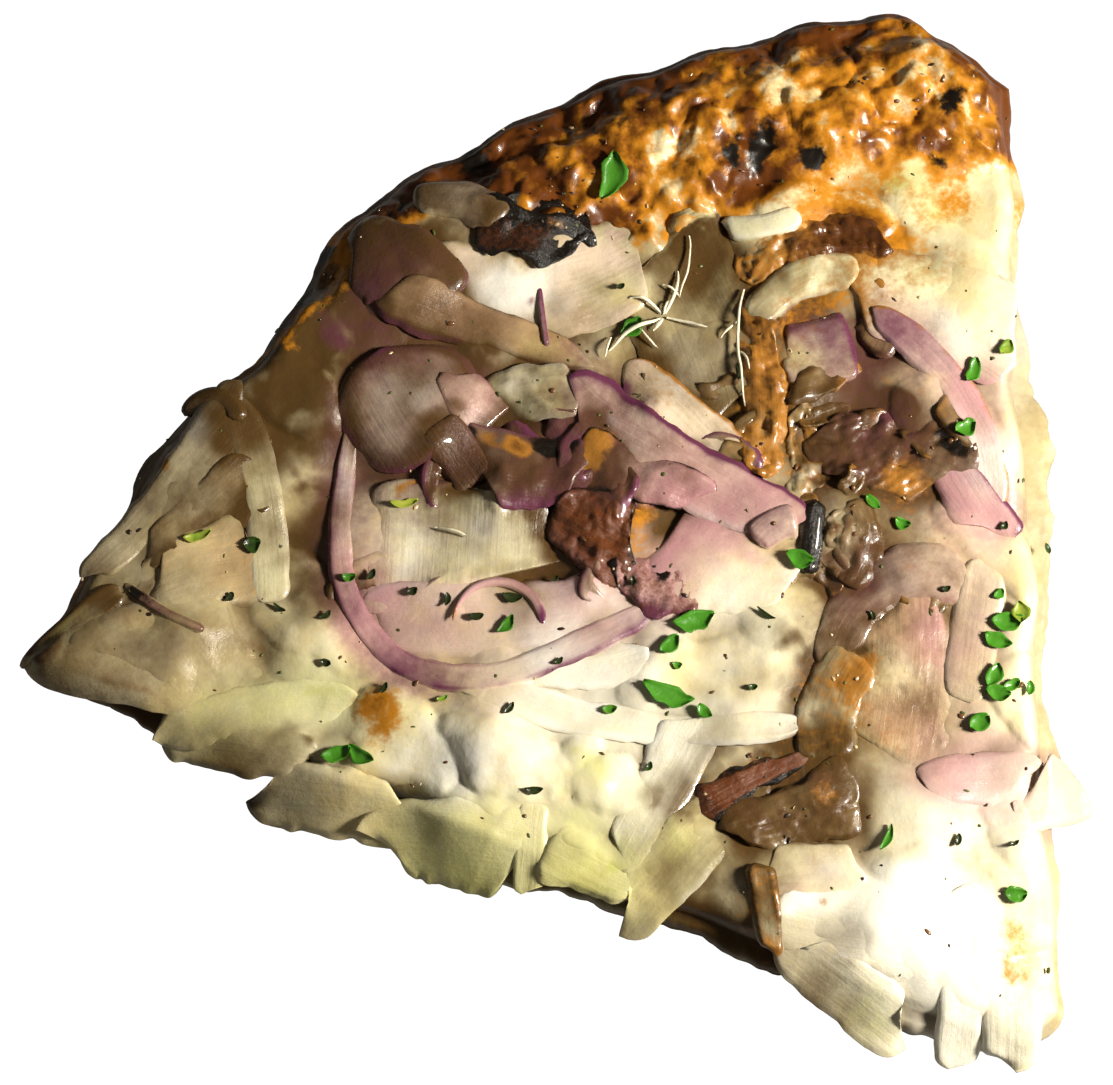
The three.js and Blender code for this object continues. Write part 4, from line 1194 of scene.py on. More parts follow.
# Its white middle is a painted highlight on the dome, and its darker edges are painted shade.
lay_onion(
    "onion_lobe_purple", "red", (-20.9, 131.5), -94, 18.5, 19.5, 16, arch=6, blunt=0.35, melt=0.5,
    folded=0, slants=(0, 0), ridges=0,
    dabs=[("skin", 0.2), ("pink", 0.4), ("shade", 0.2), ("skin", 0.5, "edges", 0.7),
          ("white", 0.7, (-0.1, 0), 6), ("shade", 0.4, "edges", 2.4),
          ("charred", 0.3, "end", 1.2)])
lay_onion(
    "onion_lobe_pink", "red", (-14, 126.6), -91, 9.8, 8.5, 0, arch=0.3, widths=(0.71, 1), melt=0.3,
    blunt=0.9, dabs=[("pink", 0.6), ("skin", 0.08), ("shade", 0.15)])
lay_onion(
    "onion_peach", "red", (8.9, 105.5), -82, 24.3, 14.6, 0, arch=0.4, melt=0.4, widths=(0.62, 1),
    blunt=0.8, thick=0.4, folded=0.3, slants=(-0.3, 0.4),
    dabs=[("pink", 0.5, "start", 10), ("pink", 0.3, "right", 4), ("skin", 0.9, (-0.92, -0.2), 1.8),
          ("browned", 0.3, "end", 6), ("green", 0.25, (0.1, 0.4), 6),
          ("browned", 0.5, "left", 0.6)])
lay_onion(
    "onion_mauve_long", "red", (5.7, 100.4), -66, 39.1, 10, 18, melt=0.2, tilt=0.7, arch=0.1,
    widths=(1, 0.79), thick=0.4, folded=0.3, blunt=0.8, slants=(-0.6, 0.3),
    dabs=[("pink", 0.5), ("skin", 0.2, "start", 14), ("skin", 1, "left", 0.8),
          ("skin", 0.25, "left", 3), ("shade", 0.6, (-0.8, -0.3), 4.5),
          ("browned", 0.3, (-0.6, -0.4), 2.5), ("white", 0.6, (-0.65, 0.1), 1.2),
          ("white", 0.4, (-0.4, -0.3), 1), ("white", 0.35, "right", 2)])
lay_onion(
    "onion_mauve_petal", "red", (34.1, 104.3), -24, 10.7, 10.6, 0, arch=0.3, melt=0.3, blunt=0.9,
    widths=(0.89, 1), folded=0.5,
    dabs=[("skin", 0.28), ("pink", 0.35), ("shade", 0.7, "left", 1.2), ("skin", 0.5, "end", 0.7)])
lay_onion(
    "onion_ring_right", "red", (46.9, 86.4), -96, 36.8, 5.2, -62, arch=0.15, thick=0.4, melt=0.5,
    tilt=0.3, widths=(1, 0.88),
    dabs=[("pink", 0.5), ("skin", 0.3, "start", 14), ("browned", 0.35, "left", 0.7),
          ("white", 0.3, "right", 1.6)])
lay_onion(
    "onion_mauve_right", "red", (38.7, 73.2), -95, 13.2, 9.1, 0, melt=0.3, blunt=0.9,
    widths=(0.5, 1), thick=0.4, folded=0.3, slants=(0.2, 0.6),
    dabs=[("pink", 0.75), ("skin", 0.25), ("skin", 0.6, "left", 0.8)])

# %% Folded and browned pieces on the right
lay_onion(
    "onion_tan_low", "browned", (13.4, 57.7), -131, 24.7, 19.5, -14, arch=0.4, melt=0.6,
    grain=0.15, widths=(0.75, 1), folded=0.5,
    dabs=[("pink", 0.35), ("shade", 0.12), ("browned", 0.5, "right", 3),
          ("browned", 0.3, "end", 4), ("shade", 0.3, (0.3, 0.6), 4)])
lay_onion(
    "onion_fold_grey", "red", (19.7, 68.8), -4, 27.5, 8.5, -108, arch=0.7, crinkle=0.12, melt=0.4,
    grain=0.1, widths=(0.86, 1), folded=0.4,
    dabs=[("shade", 0.32), ("skin", 0.12), ("pink", 0.35), ("white", 0.4, (0.1, 0.1), 4),
          ("charred", 0.8, (-0.93, 0), 0.9)])
lay_onion(
    "onion_fold_side", "pale", (26.7, 55.6), -135, 21.6, 6.7, 0, arch=0.2, melt=0.5,
    widths=(1, 0.91), thick=0.35, flood=0.35,
    dabs=[("pink", 0.35), ("shade", 0.2), ("white", 0.2)])
lay_onion(
    "onion_pink_right", "red", (13.6, 37.8), -32, 16.9, 9.1, 22, melt=0.3, arch=0.3,
    widths=(0.67, 1), thick=0.4, blunt=0.4, folded=0.1, flood=0.35,
    dabs=[("pink", 0.5), ("skin", 0.55, "right", 0.7), ("white", 0.25, (0.2, 0.2), 4)])
lay_onion(
    "onion_brown_tip", "red", (22.7, 29.1), -36, 10.4, 12.8, 0, arch=0.2, melt=0.6,
    widths=(1, 0.26), blunt=0.6, flood=0.5,
    dabs=[("pink", 0.35), ("browned", 0.12), ("shade", 0.12, "end", 4),
          ("skin", 0.9, (0.6, 0.15), 1.4), ("charred", 0.8, (0.92, 0.1), 1)])
lay_onion(
    "onion_clear_blob", "pale", (-13.4, 40.6), -33, 13.8, 8.5, 0, arch=0.3, melt=0.3,
    widths=(1, 0.89), blunt=0.9, thick=0.4, folded=0.4, slants=(0.3, -0.2),
    dabs=[("pink", 0.4), ("shade", 0.3, "start", 5), ("white", 0.3, (0.3, 0), 3)])
lay_onion(
    "onion_white_chunk", "pale", (22.6, 92.5), -120, 14.5, 6.7, 0, arch=0.5, crinkle=0.5, grain=1,
    melt=0.3, widths=(0.77, 1), folded=0.6,
    dabs=[("browned", 0.28), ("shade", 0.35), ("white", 0.5, (0.3, 0), 3)])
lay_onion(
    "onion_brown_ridge", "browned", (24, 104), -125, 30, 5.5, -20, arch=0.5, crinkle=0.7,
    ragged=0.4, grain=0.9, melt=0.5, folded=0.7,
    dabs=[("browned", 0.5), ("white", 0.2), ("charred", 0.35, (0.6, 0), 4), ("shade", 0.3)])
lay_onion(
    "onion_brown_arch", "browned", (43.2, 119.3), -20, 24, 7.6, -70, crinkle=0.5, ragged=0.3,
    melt=0.4, grain=0.9, folded=0.6,
    dabs=[("browned", 0.5), ("green", 0.3), ("browned", 0.4, "end", 5),
          ("charred", 0.4, "start", 2), ("charred", 0.4, (0.95, 0), 1.4)])
lay_onion(
    "onion_white_bean", "pale", (38.6, 124.9), -27, 11.9, 4, 50, arch=0.8, melt=0.6,
    widths=(1, 0.92), dabs=[("white", 0.4), ("green", 0.2)])
lay_onion(
    "onion_brown_hang", "browned", (-22.2, 39.7), -117, 12.7, 4, 0, arch=0.4, crinkle=0.4,
    widths=(1, 0.85), folded=0.5,
    dabs=[("shade", 0.45), ("browned", 0.3), ("charred", 0.5, "end", 1.5),
          ("shade", 0.4, "left", 1)])

# %% Seared and charred pieces on top
# Its two white spots are painted glints.
lay_onion(
    "charred_middle", "red", (-12.8, 112.8), -35, 15.6, 12.8, 0, arch=0.2, crinkle=0.15,
    blunt=0.95, tilt=0.5, melt=0.1, widths=(1, 0.71), thick=0.45, folded=0.9, slants=(-0.45, 0.25),
    dabs=[("skin", 0.18), ("shade", 0.42), ("pink", 0.25), ("charred", 1.2, (0.45, 0.75), 3.2),
          ("charred", 1, (-0.95, 0.8), 1.5), ("browned", 0.75, (-0.15, 0.6), 1.7),
          ("browned", 0.4, (-0.6, 0.7), 2), ("white", 0.7, (0.3, -0.2), 1.2),
          ("white", 0.8, (-0.4, -0.9), 1.4), ("skin", 0.4, "right", 2)])
lay_onion(
    "charred_band", "red", (0.3, 103.1), -53, 20.2, 8.5, 0, arch=0.15, crinkle=0.3, melt=0.1,
    blunt=0.9, widths=(1, 0.68), thick=0.4, folded=0.5, slants=(0, 0.4),
    dabs=[("skin", 0.16), ("pink", 0.6), ("shade", 0.1), ("browned", 0.6, "start", 4),
          ("shade", 0.5, "start", 6), ("charred", 0.6, "left", 0.6),
          ("charred", 0.6, "right", 0.7)])
lay_onion(
    "charred_lump", "charred", (-10.4, 100), -63, 13.3, 11.6, 0, arch=1.6, crinkle=0.4,
    ragged=0.25, grain=0.6, melt=0.4, widths=(0.79, 1), folded=0.3,
    dabs=[("browned", 0.25), ("shade", 0.25), ("skin", 0.3), ("pink", 0.3),
          ("charred", 0.3, "edges", 2), ("browned", 0.4, "end", 2)])
lay_onion(
    "charred_red", "charred", (-7.7, 87.5), -49, 13.6, 7, 14, arch=0.4, crinkle=0.35, ragged=0.4,
    melt=0.3, widths=(0.74, 1), folded=0.8, grain=0.5,
    dabs=[("pink", 0.4), ("browned", 0.3), ("skin", 1, "right", 1.6),
          ("charred", 1, (0.15, 0.6), 1.8), ("charred", 0.8, "start", 1.2)])
lay_onion(
    "charred_purple", "red", (32.8, 85.9), -53, 21.8, 14, -20, arch=0.5, crinkle=0.35, ragged=0.3,
    grain=0.5, melt=0.5, widths=(0.65, 1), folded=0.9,
    dabs=[("skin", 0.2), ("shade", 0.6), ("charred", 0.8, (0.5, 0.7), 2.6),
          ("charred", 0.6, (0.8, 0.5), 2.2), ("browned", 0.5, (0.6, -0.6), 5),
          ("green", 0.5, (-0.1, 0.2), 2.5), ("white", 0.5, (-0.5, 0), 2)])
lay_onion(
    "charred_top_strip", "charred", (10, 145), -46, 20, 4.4, -14, arch=0.2, crinkle=0.2,
    ragged=0.6, melt=0.1, tilt=0.8, folded=0.8, thick=0.3,
    dabs=[("browned", 0.6), ("charred", 0.95)])
lay_onion(
    "charred_top_tuft", "charred", (9.6, 143.4), -46, 15, 7, 10, arch=0.1, crinkle=0.25,
    ragged=0.7, grain=0.3, melt=0, folded=1, thick=0.3,
    dabs=[("browned", 0.75), ("charred", 0.95, "end", 4), ("charred", 0.9, "left", 2),
          ("charred", 0.45)])
lay_onion(
    "charred_low_strip", "charred", (-12.7, 55.8), -7, 18.6, 4.6, 0, arch=0.4, crinkle=0.2,
    ragged=0.4, grain=0.15, melt=0.2, folded=0.7,
    dabs=[("browned", 0.45), ("skin", 0.4), ("charred", 0.9, "right", 1),
          ("charred", 0.5, "left", 0.8), ("browned", 0.6, "start", 2),
          ("white", 0.4, (0.7, 0.2), 1.2)])
lay_onion(
    "charred_low_petal", "browned", (-10.9, 48.2), -19, 19.6, 11.6, 0, crinkle=0.25, ragged=0.3,
    grain=0.3, melt=0.3, widths=(0.58, 1), folded=0.8, thick=0.35,
    dabs=[("shade", 0.55), ("skin", 0.2), ("green", 0.25), ("charred", 0.7, "end", 1),
          ("charred", 0.4, "left", 0.8), ("white", 0.4, (-0.4, -0.6), 1.4),
          ("browned", 0.3, (0.5, 0.3), 3)])

# %% Curls, knobs and shreds
lay_scrap("red", (3, 154), -51, 15, 6, -58, arch=1.2, dabs=[("shade", 0.6)])
lay_scrap(
    "browned", (20, 77), -128, 12, 8, -74, tilt=0.3, crinkle=0.5, arch=0.3, grain=0.7, melt=1.2,
    flood=0.4, dabs=[("shade", 0.45), ("pink", 0.3)])
lay_scrap("red", (12, 85), -6, 7, 5, -39, arch=1.4, dabs=[("skin", 0.5)])
lay_scrap(
    "charred", (-20, 121), -88, 11, 7, 0, tilt=0.3, melt=1.1, dabs=[("shade", 0.4), ("skin", 0.2)])
lay_scrap("red", (2.8, 132.2), -118, 9.8, 1.1, 8, melt=1.1, dabs=[("skin", 0.6)])
lay_scrap("pale", (38, 115), -9, 19, 5, -73, arch=0.8, dabs=[("shade", 0.2)])
lay_scrap(
    "pale", (3, 59), -142, 18, 9, 40, arch=0.2, melt=1.3, flood=0.6, grain=0.3,
    dabs=[("shade", 0.2), ("browned", 0.2)])
lay_scrap("browned", (-45, 148), -44, 11, 3, -165, melt=0.2, dabs=[("shade", 0.5)])
lay_scrap(
    "browned", (-69.5, 124.5), -66, 14, 1.5, 24, melt=0, arch=0.3, thick=0.6,
    dabs=[("charred", 0.9, "start", 6), ("skin", 0.5), ("pink", 0.6, "end", 5)])
lay_scrap(
    "charred", (15.5, 81), -131, 11, 3.2, 14, arch=1.6, melt=0.2, crinkle=0.1,
    dabs=[("charred", 1.2)])

# %% Make the meshes of the onion
around = blur(pile, 60)
settled = blur(pile, 10) + blur(flood, 40)
wet = blur(cover, 110)
soaked_and_shade = {kind: blur(juice_and_shade[kind], 110) / np.maximum(wet, 0.02) for kind in KINDS}


def melted_level(x, y):
    """The top of the cheese between the onions."""
    between = read_map(settled, x, y) - 0.5 - 1.3 * heat_at(x, y) + 0.7 * rough(x, y, 8, 91)
    top = cheese_top(x, y)
    return mix(np.maximum(top, between), top, on_rim(x, y))


def stains_and_shade(x, y):
    """The marks with their painted shade and light, and colour seeped from nearby onions."""
    near = 0.85 * ease(read_map(wet, x, y), 0.03, 0.45) * (1 - on_rim(x, y))
    found = marks_at(x, y)
    return {kind: np.maximum(found[kind], near * read_map(soaked_and_shade[kind], x, y))
            for kind in KINDS}


def hollow_shade(points):
    """Painted shade where a point lies low among its neighbours; more where it was hottest."""
    x, y = points[:, 0], points[:, 1]
    low = np.clip((read_map(around, x, y) - points[:, 2] - 0.15) / 1.1, 0, 1)
    return low * (0.40 + 0.5 * heat_at(x, y))


def make_onion(name, look, nodes, parts):
    points, faces = join_parts(parts)
    values = {kind: np.concatenate([part[2][kind] for part in parts]) for kind in KINDS}
    x, y, z = points.T
    sunk = ease(melted_level(x, y) - z, -0.75, 0.05) * (0.4 if look == "charred" else 1.0)
    stained = stains_and_shade(x, y)
    values = {kind: mix(values[kind], stained[kind], sunk) for kind in KINDS}
    # Painted shade where the piece lies low among its neighbours.
    values["shade"] += hollow_shade(points)
    values["sunk"] = sunk
    uv = np.concatenate([part[3] for part in parts])
    make_piece(name, points + IN_FRAME, faces, onion_looks[look], nodes,
               values, uv)
    return sum(len(group) for group in faces)


for name, look, part in laid:
    make_onion(name + "_look", look, [name], [part])
for look, parts in scraps.items():
    print("scraps,", look, len(parts), make_onion("scraps_" + look, look, (), parts))
print("onion pieces:", len(laid))

# %% [markdown]
# ## The cheese
# The cheese is one sheet that follows the plan from tip to rim. A fan of equal steps would
# crowd at the tip, so the number of steps across doubles each time the slice gets wide
# enough. Between the onion pieces the cheese rises a little, as it does where it has set
# round them.


# %% Fan of rings
CHEESE_STEPS = 368
RING_STEP = 0.46


def fan_rings():
    """The rings of the fan: how far out each is, and its number of steps across."""
    out = np.linspace(0, 1, round(SLICE_RADIUS / RING_STEP))
    steps = np.where(out > 0.48, CHEESE_STEPS, np.where(out > 0.24, CHEESE_STEPS // 2,
                     np.where(out > 0.12, CHEESE_STEPS // 4, CHEESE_STEPS // 8)))
    return out, steps


def fan_faces(steps):
    """Squares between rings of equal steps, triangles where the number doubles."""
    first = np.r_[0, np.cumsum(steps + 1)]
    squares = []
    triangles = []
    for k in range(len(steps) - 1):
        inner = first[k] + np.arange(steps[k])
        outer = first[k + 1]
        if steps[k] == steps[k + 1]:
            j = outer + np.arange(steps[k])
            squares.append(np.stack([inner, inner + 1, j + 1, j], 1))
        else:
            j = outer + 2 * np.arange(steps[k])
            triangles.append(np.stack([inner, j + 1, j], 1))
            triangles.append(np.stack([inner, inner + 1, j + 1], 1))
            triangles.append(np.stack([inner + 1, j + 2, j + 1], 1))
    return np.concatenate(squares), np.concatenate(triangles), first


def fan_loop(steps, first):
    """The points round the fan, anticlockwise from above."""
    right = first[:-1]
    left = first[1:] - 1
    rim = first[-2] + np.arange(steps[-1] + 1)
    tip = np.arange(steps[0] + 1)
    return np.r_[right[:-1], rim[:-1], left[::-1][:-1], tip[::-1][:-1]]


# %% Cheese mesh
def smooth_loop(value, passes):
    """Averages each value round a closed loop with its neighbours, again and again."""
    for _ in range(passes):
        value = (np.roll(value, 1, 0) + 2 * value + np.roll(value, -1, 0)) / 4
    return value


def pushed(x, y, z, outward, push):
    """The points of a loop, moved outwards by push."""
    return np.stack([x + outward[:, 0] * push, y + outward[:, 1] * push, z], 1)


def outward_of(loop_points):
    """Which way is out at each point of a loop, in plan."""
    ahead = np.roll(loop_points, -1, 0) - np.roll(loop_points, 1, 0)
    normal = smooth_loop(np.stack([ahead[:, 1], -ahead[:, 0]], 1), 12)
    return normal / np.linalg.norm(normal, axis=1)[:, None]


EDGE_RISE = 3.4
EDGE_ROUND = 3.5
DOUGH_GAP = 0.3
# A place well inside the slice, where the faces that nobody sees meet.
HUB = (0, 90)
# How far out each ring of the cheese's wall stands, and how far down it lies.
WALL = [(0.55, 0.07), (0.9, 0.25), (1.0, 0.5), (0.92, 0.75), (0.6, 0.95), (0.25, 1.0)]


def cheese_surface(x, y, side):
    """The cheese between the onions, rounded off towards its edges."""
    far = np.hypot(x, y)
    top = melted_level(x, y)
    turn = side * HALF_ANGLE
    to_cut = far * np.sin(np.radians((1 - np.abs(side)) * HALF_ANGLE))
    inset = np.minimum(to_cut, rim_radius(turn) - far)
    inset = np.minimum(inset, far - tip_radius(turn))
    rounding = np.sqrt(np.clip(1 - (1 - np.clip(inset / EDGE_ROUND, 0, 1)) ** 2, 0, 1))
    return mix(dough_top(x, y) + EDGE_RISE, top, rounding)


def cheese_wall(x, y, z, on_side):
    """Rings of points that hang out over the dough's edge and back under the cheese."""
    outward = outward_of(np.stack([x, y], 1))
    spread = np.cumsum(np.r_[0, np.hypot(np.diff(x), np.diff(y))])
    far = np.hypot(x, y)
    lip = np.where(on_side > 0.98, left_lip(far),
                   np.where(on_side < -0.98, right_lip(far), CHEESE_LIP * 0.8))
    uneven = rough(spread, spread * 0, 6, 61)
    lip = smooth_loop(lip, 30) * (0.85 + 0.35 * uneven)
    under = dough_top(x, y) + DOUGH_GAP
    hang = np.clip(1.2 + 2.4 * rough(spread, spread * 0, 9, 67), -1.0, 4.0)
    rings = []
    for reach, fall in WALL:
        push = lip * reach + 0.25 * rough(spread, spread * 0 + 5 * fall, 3, 71)
        rings.append(pushed(x, y, mix(z, under - hang, fall), outward, push))
    rings.append(np.stack([x, y, under], 1))
    return rings


def make_cheese():
    out, steps = fan_rings()
    squares, triangles, first = fan_faces(steps)
    side = np.concatenate([np.linspace(-1, 1, n + 1) for n in steps])
    far_out = np.concatenate([np.full(n + 1, o) for o, n in zip(out, steps)])
    x, y = plan_point(far_out, side)
    top = cheese_surface(x, y, side)
    loop = fan_loop(steps, first)
    rings = cheese_wall(x[loop], y[loop], top[loop], side[loop])
    hub = np.array([[*HUB, float(dough_top(*HUB)) + DOUGH_GAP]])
    points = np.concatenate([np.stack([x, y, top], 1), *rings, hub])
    faces = [squares[:, ::-1], triangles[:, ::-1]]
    above = loop
    for k in range(len(rings)):
        below = len(x) + k * len(loop) + np.arange(len(loop))
        faces.append(join_loops(above, below))
        above = below
    centre = np.full(len(loop), len(points) - 1)
    faces.append(np.stack([above, centre, np.roll(above, -1)], 1))
    values = cheese_values(points)
    return make_piece("melted_cheese", points + IN_FRAME, faces, cheese_material(),
                      ["cheese"], values)


def cheese_values(points):
    """Marks, onion colour and painted shade on the cheese, and the browning of its rim."""
    x, y = points[:, 0], points[:, 1]
    far, turn = polar(x, y)
    rim = on_rim(x, y)
    values = stains_and_shade(x, y)
    outer = ease(far - rim_radius(np.clip(turn, -HALF_ANGLE, HALF_ANGLE)), -7, -0.5)
    golden = 0.60 + 0.45 * rough(x, y, 11, 51) + 0.45 * rough(x, y, 2.6, 55) + 0.5 * outer
    # In the rim's hollows the extra browning is painted shade.
    golden += 0.30 * ease(turn, -14, 6) + 0.4 * hollow_shade(points)
    values["browned"] += rim * np.clip(golden, 0.30, 1.1)
    burnt = 0.40 * ease(rough(x, y, 5, 63), 0.15, 0.7) + 0.4 * outer - 0.08
    values["charred"] += rim * burnt
    values["green"] *= 1 - rim
    # On the left half of the rim the gold gives way to painted shade.
    values["browned"] *= 1 - 0.9 * rim * ease(turn, 2, 9)
    values["shade"] += 0.8 * rim * ease(turn, 2, 9)
    # Painted shade in patches, stronger towards the left, away from the light.
    left_shade = 0.10 * ease(rough(x, y, 12, 57), 0.1, 0.8)
    values["shade"] += left_shade * ease(-x, -30, 60)
    # Painted shade where the cheese lies low among its neighbours.
    values["shade"] += hollow_shade(points) * (1 - rim)
    return {kind: np.clip(value, 0, 1.2) for kind, value in values.items()}


cheese = make_cheese()
print("cheese faces:", len(cheese.data.polygons))

# %% [markdown]
# ## Herbs
# Chopped green herb is strewn on the baked slice: thin curled flakes, pointed at their ends,
# some fresh, some dried dark by the heat. They're one mesh, laid where each flake is seen.
# The fresh value runs from 0, dried, over 0.5, green, to 1, yellowish.

# %% Herb flakes
# A flake is its x and y, heading, length, width and fresh value.
HERBS = [
    (24, 144, 40, 7.6, 3.6, 0.5), (13, 123, 5, 3.8, 2.6, 0.4), (57, 88, 20, 2.6, 1.8, 0.8),
    (51, 88, 35, 4, 2, 0.6), (44, 81, -5, 3.4, 2.8, 0.6), (26, 80, -85, 2.8, 1.6, 0.5),
    (28, 75, -60, 2.4, 1.7, 0.5), (12, 79, -55, 4.2, 2.6, 0.5), (-53, 126, -20, 2.6, 2.2, 0.2),
    (-44, 114, -30, 2, 1.6, 0.4), (-6, 80, -20, 6.2, 2.8, 0.5), (-11, 79, 10, 3.6, 2.4, 0.5),
    (-16, 73, -55, 7.8, 3, 0.55), (-13, 68, -80, 2.6, 1.5, 0.5), (-12, 76, -40, 1.4, 1, 0.7),
    (-5, 67, -30, 1.4, 1, 0.2), (3, 75, -70, 3.2, 0.7, 0.1), (34, 54, 60, 3.2, 2.4, 0.85),
    (31.5, 54, -30, 4.6, 2.6, 0.6), (28.5, 52.5, -60, 4.2, 2.4, 0.6),
    (25, 48.5, 30, 3.8, 2.2, 0.6), (23.5, 46, -50, 3.6, 2.2, 0.5), (26, 45.8, -10, 2.6, 1.8, 0.6),
    (19, 44, 0, 3.2, 2.5, 0.45), (28, 44, 50, 2.2, 1.2, 0.5), (-60, 93, -15, 4.4, 2.2, 0.5),
    (-57.5, 91, -70, 4.4, 2.2, 0.5), (-2, 38, 30, 4, 1.1, 0.6), (8, 21, -35, 3.2, 2.5, 0.4),
    (-26, 98, -45, 3, 1.3, 0.1), (-29, 95, 15, 3.4, 1.6, 0.4), (-31, 119, -30, 4.2, 1.3, 0.95),
    (-59, 131, -15, 4.2, 1.4, 0.9), (-24, 76, -30, 2.2, 1.3, 0.7), (33, 58, 10, 1.8, 1.2, 0.6),
    (-41, 112.5, 20, 1.9, 1.2, 0), (-37.5, 107, -10, 1.6, 1.1, 0), (-34, 103, 50, 2, 0.9, 0),
    (-32, 98.5, -30, 2.2, 1.2, 0), (-19, 97, 10, 1.2, 0.8, 0.1), (-10, 90, 60, 1.6, 0.9, 0.05),
    (-26, 86, 0, 1.5, 0.8, 0.1), (-49, 97, 30, 1.8, 0.9, 0.1), (-54, 105, -60, 1.5, 1, 0.05),
    (-36, 84, 15, 2.2, 1, 0), (-40, 72, -35, 2.6, 1, 0.1), (-24, 66, 25, 1.5, 0.8, 0.2),
    (-43, 91, -15, 1.7, 0.8, 0.8), (-60, 121, 20, 1.6, 0.9, 0), (-55, 116, -70, 2.2, 0.7, 0),
    (-50, 111, 5, 2, 0.8, 0), (16, 66, 70, 1.5, 0.8, 0), (27, 63, -20, 1.3, 0.8, 0),
    (6, 32, 40, 1.8, 1, 0), (12, 27, -10, 1.5, 0.7, 0.1), (40, 66, 15, 1.4, 0.9, 0.1),
    (44, 60, 75, 1.6, 0.8, 0.2), (22, 108, 60, 2.6, 0.8, 0), (15, 129, -10, 1.4, 0.8, 0.1)
]
pile_top = blur(pile, 3)


def herb_flake(at, heading, length, width, seed):
    """Points and faces of one flake, lying on the pile."""
    t, v = np.meshgrid(np.linspace(-1, 1, 13), np.linspace(-1, 1, 7), indexing="ij")
    s = t * length / 2
    half_width = width / 2 * (1 - 0.85 * np.abs(t) ** 2.4)
    half_width = half_width * (1 + 0.3 * noise(s, np.sign(v) * 9, 1.3, seed))
    across = v * half_width + 0.10 * length * t * t
    facing = math.radians(heading)
    x = at[0] + s * math.cos(facing) - across * math.sin(facing)
    y = at[1] + s * math.sin(facing) + across * math.cos(facing)
    ground = read_map(pile_top, x, y)
    curl = 0.35 * v * v * width / 2 + 0.3 * rough(s, across, 2.2, seed + 3) + 0.25 * t * t
    top = np.maximum(mix(ground, ground.mean(), 0.5), ground - 0.1) + 0.45 + curl
    points, faces, _ = closed_sheet(x, y, top, top - 0.16, 0.03)
    return points, faces


def herb_material():
    material, tree = new_material("chopped_herb")
    place = object_place(tree)
    clouds = noise_node(tree, place, 700, 3, 0.6)
    fresh = sum_of(tree, clouds, 0.5, sum_of(tree, attribute(tree, "fresh"), 1.0, -0.25))
    colour = blend_colour(tree, ramp(tree, fresh, 0.10, 0.50),
                          (0.022, 0.032, 0.008, 1), (0.060, 0.235, 0.016, 1))
    colour = blend_colour(tree, ramp(tree, fresh, 0.62, 1.0), colour, (0.36, 0.40, 0.05, 1))
    veins = noise_node(tree, place, 1800, 3, 0.6)
    soft_shader(tree, colour, veins, sum_of(tree, veins, 0.4, 0.15), 0.4, 0.2)
    return material


def make_herbs():
    flakes = [herb_flake((x, y), heading, length, width, 900 + 10 * k)
              for k, (x, y, heading, length, width, _) in enumerate(HERBS)]
    points, faces = join_parts(flakes)
    fresh = np.concatenate([np.full(len(flake[0]), row[-1])
                            for flake, row in zip(flakes, HERBS)])
    return make_piece("chopped_herb", points + IN_FRAME, faces, herb_material(), (),
                      {"fresh": fresh})


make_herbs()
print("herb flakes:", len(HERBS))

# %% [markdown]
# ## Threads
# Where onion skins tore and cheese was pulled, pale threads stand out of the top: a small
# uneven web of them right of the middle, a long one beside it, and a few short ones. Each
# is a closed tube along an arc that thins to both ends.

# %% Threads
# A thread is the x and y of its start, its heading, length, bend and radius.
THREADS = [
    (18, 122, 18, 7.5, 34, 0.32), (18, 122, 55, 2.4, -20, 0.22), (18, 122, 172, 9.5, 16, 0.34),
    (18, 122, -62, 6.6, 26, 0.24), (18, 122, -150, 2.6, -30, 0.32), (18, 122, 96, 5.4, 44, 0.28),
    (22, 123, 80, 3.0, 40, 0.20), (14, 123, -110, 4.2, 30, 0.20), (10, 124, -150, 3.4, 20, 0.20),
    (31, 119, -131, 19, 24, 0.26), (27, 115, -175, 3.6, 20, 0.20), (24, 111, -95, 3.4, -20, 0.20),
    (29, 131, -122, 10, -24, 0.20), (-26, 109, 120, 5, 20, 0.2),
]
THREAD_SIDES = 7


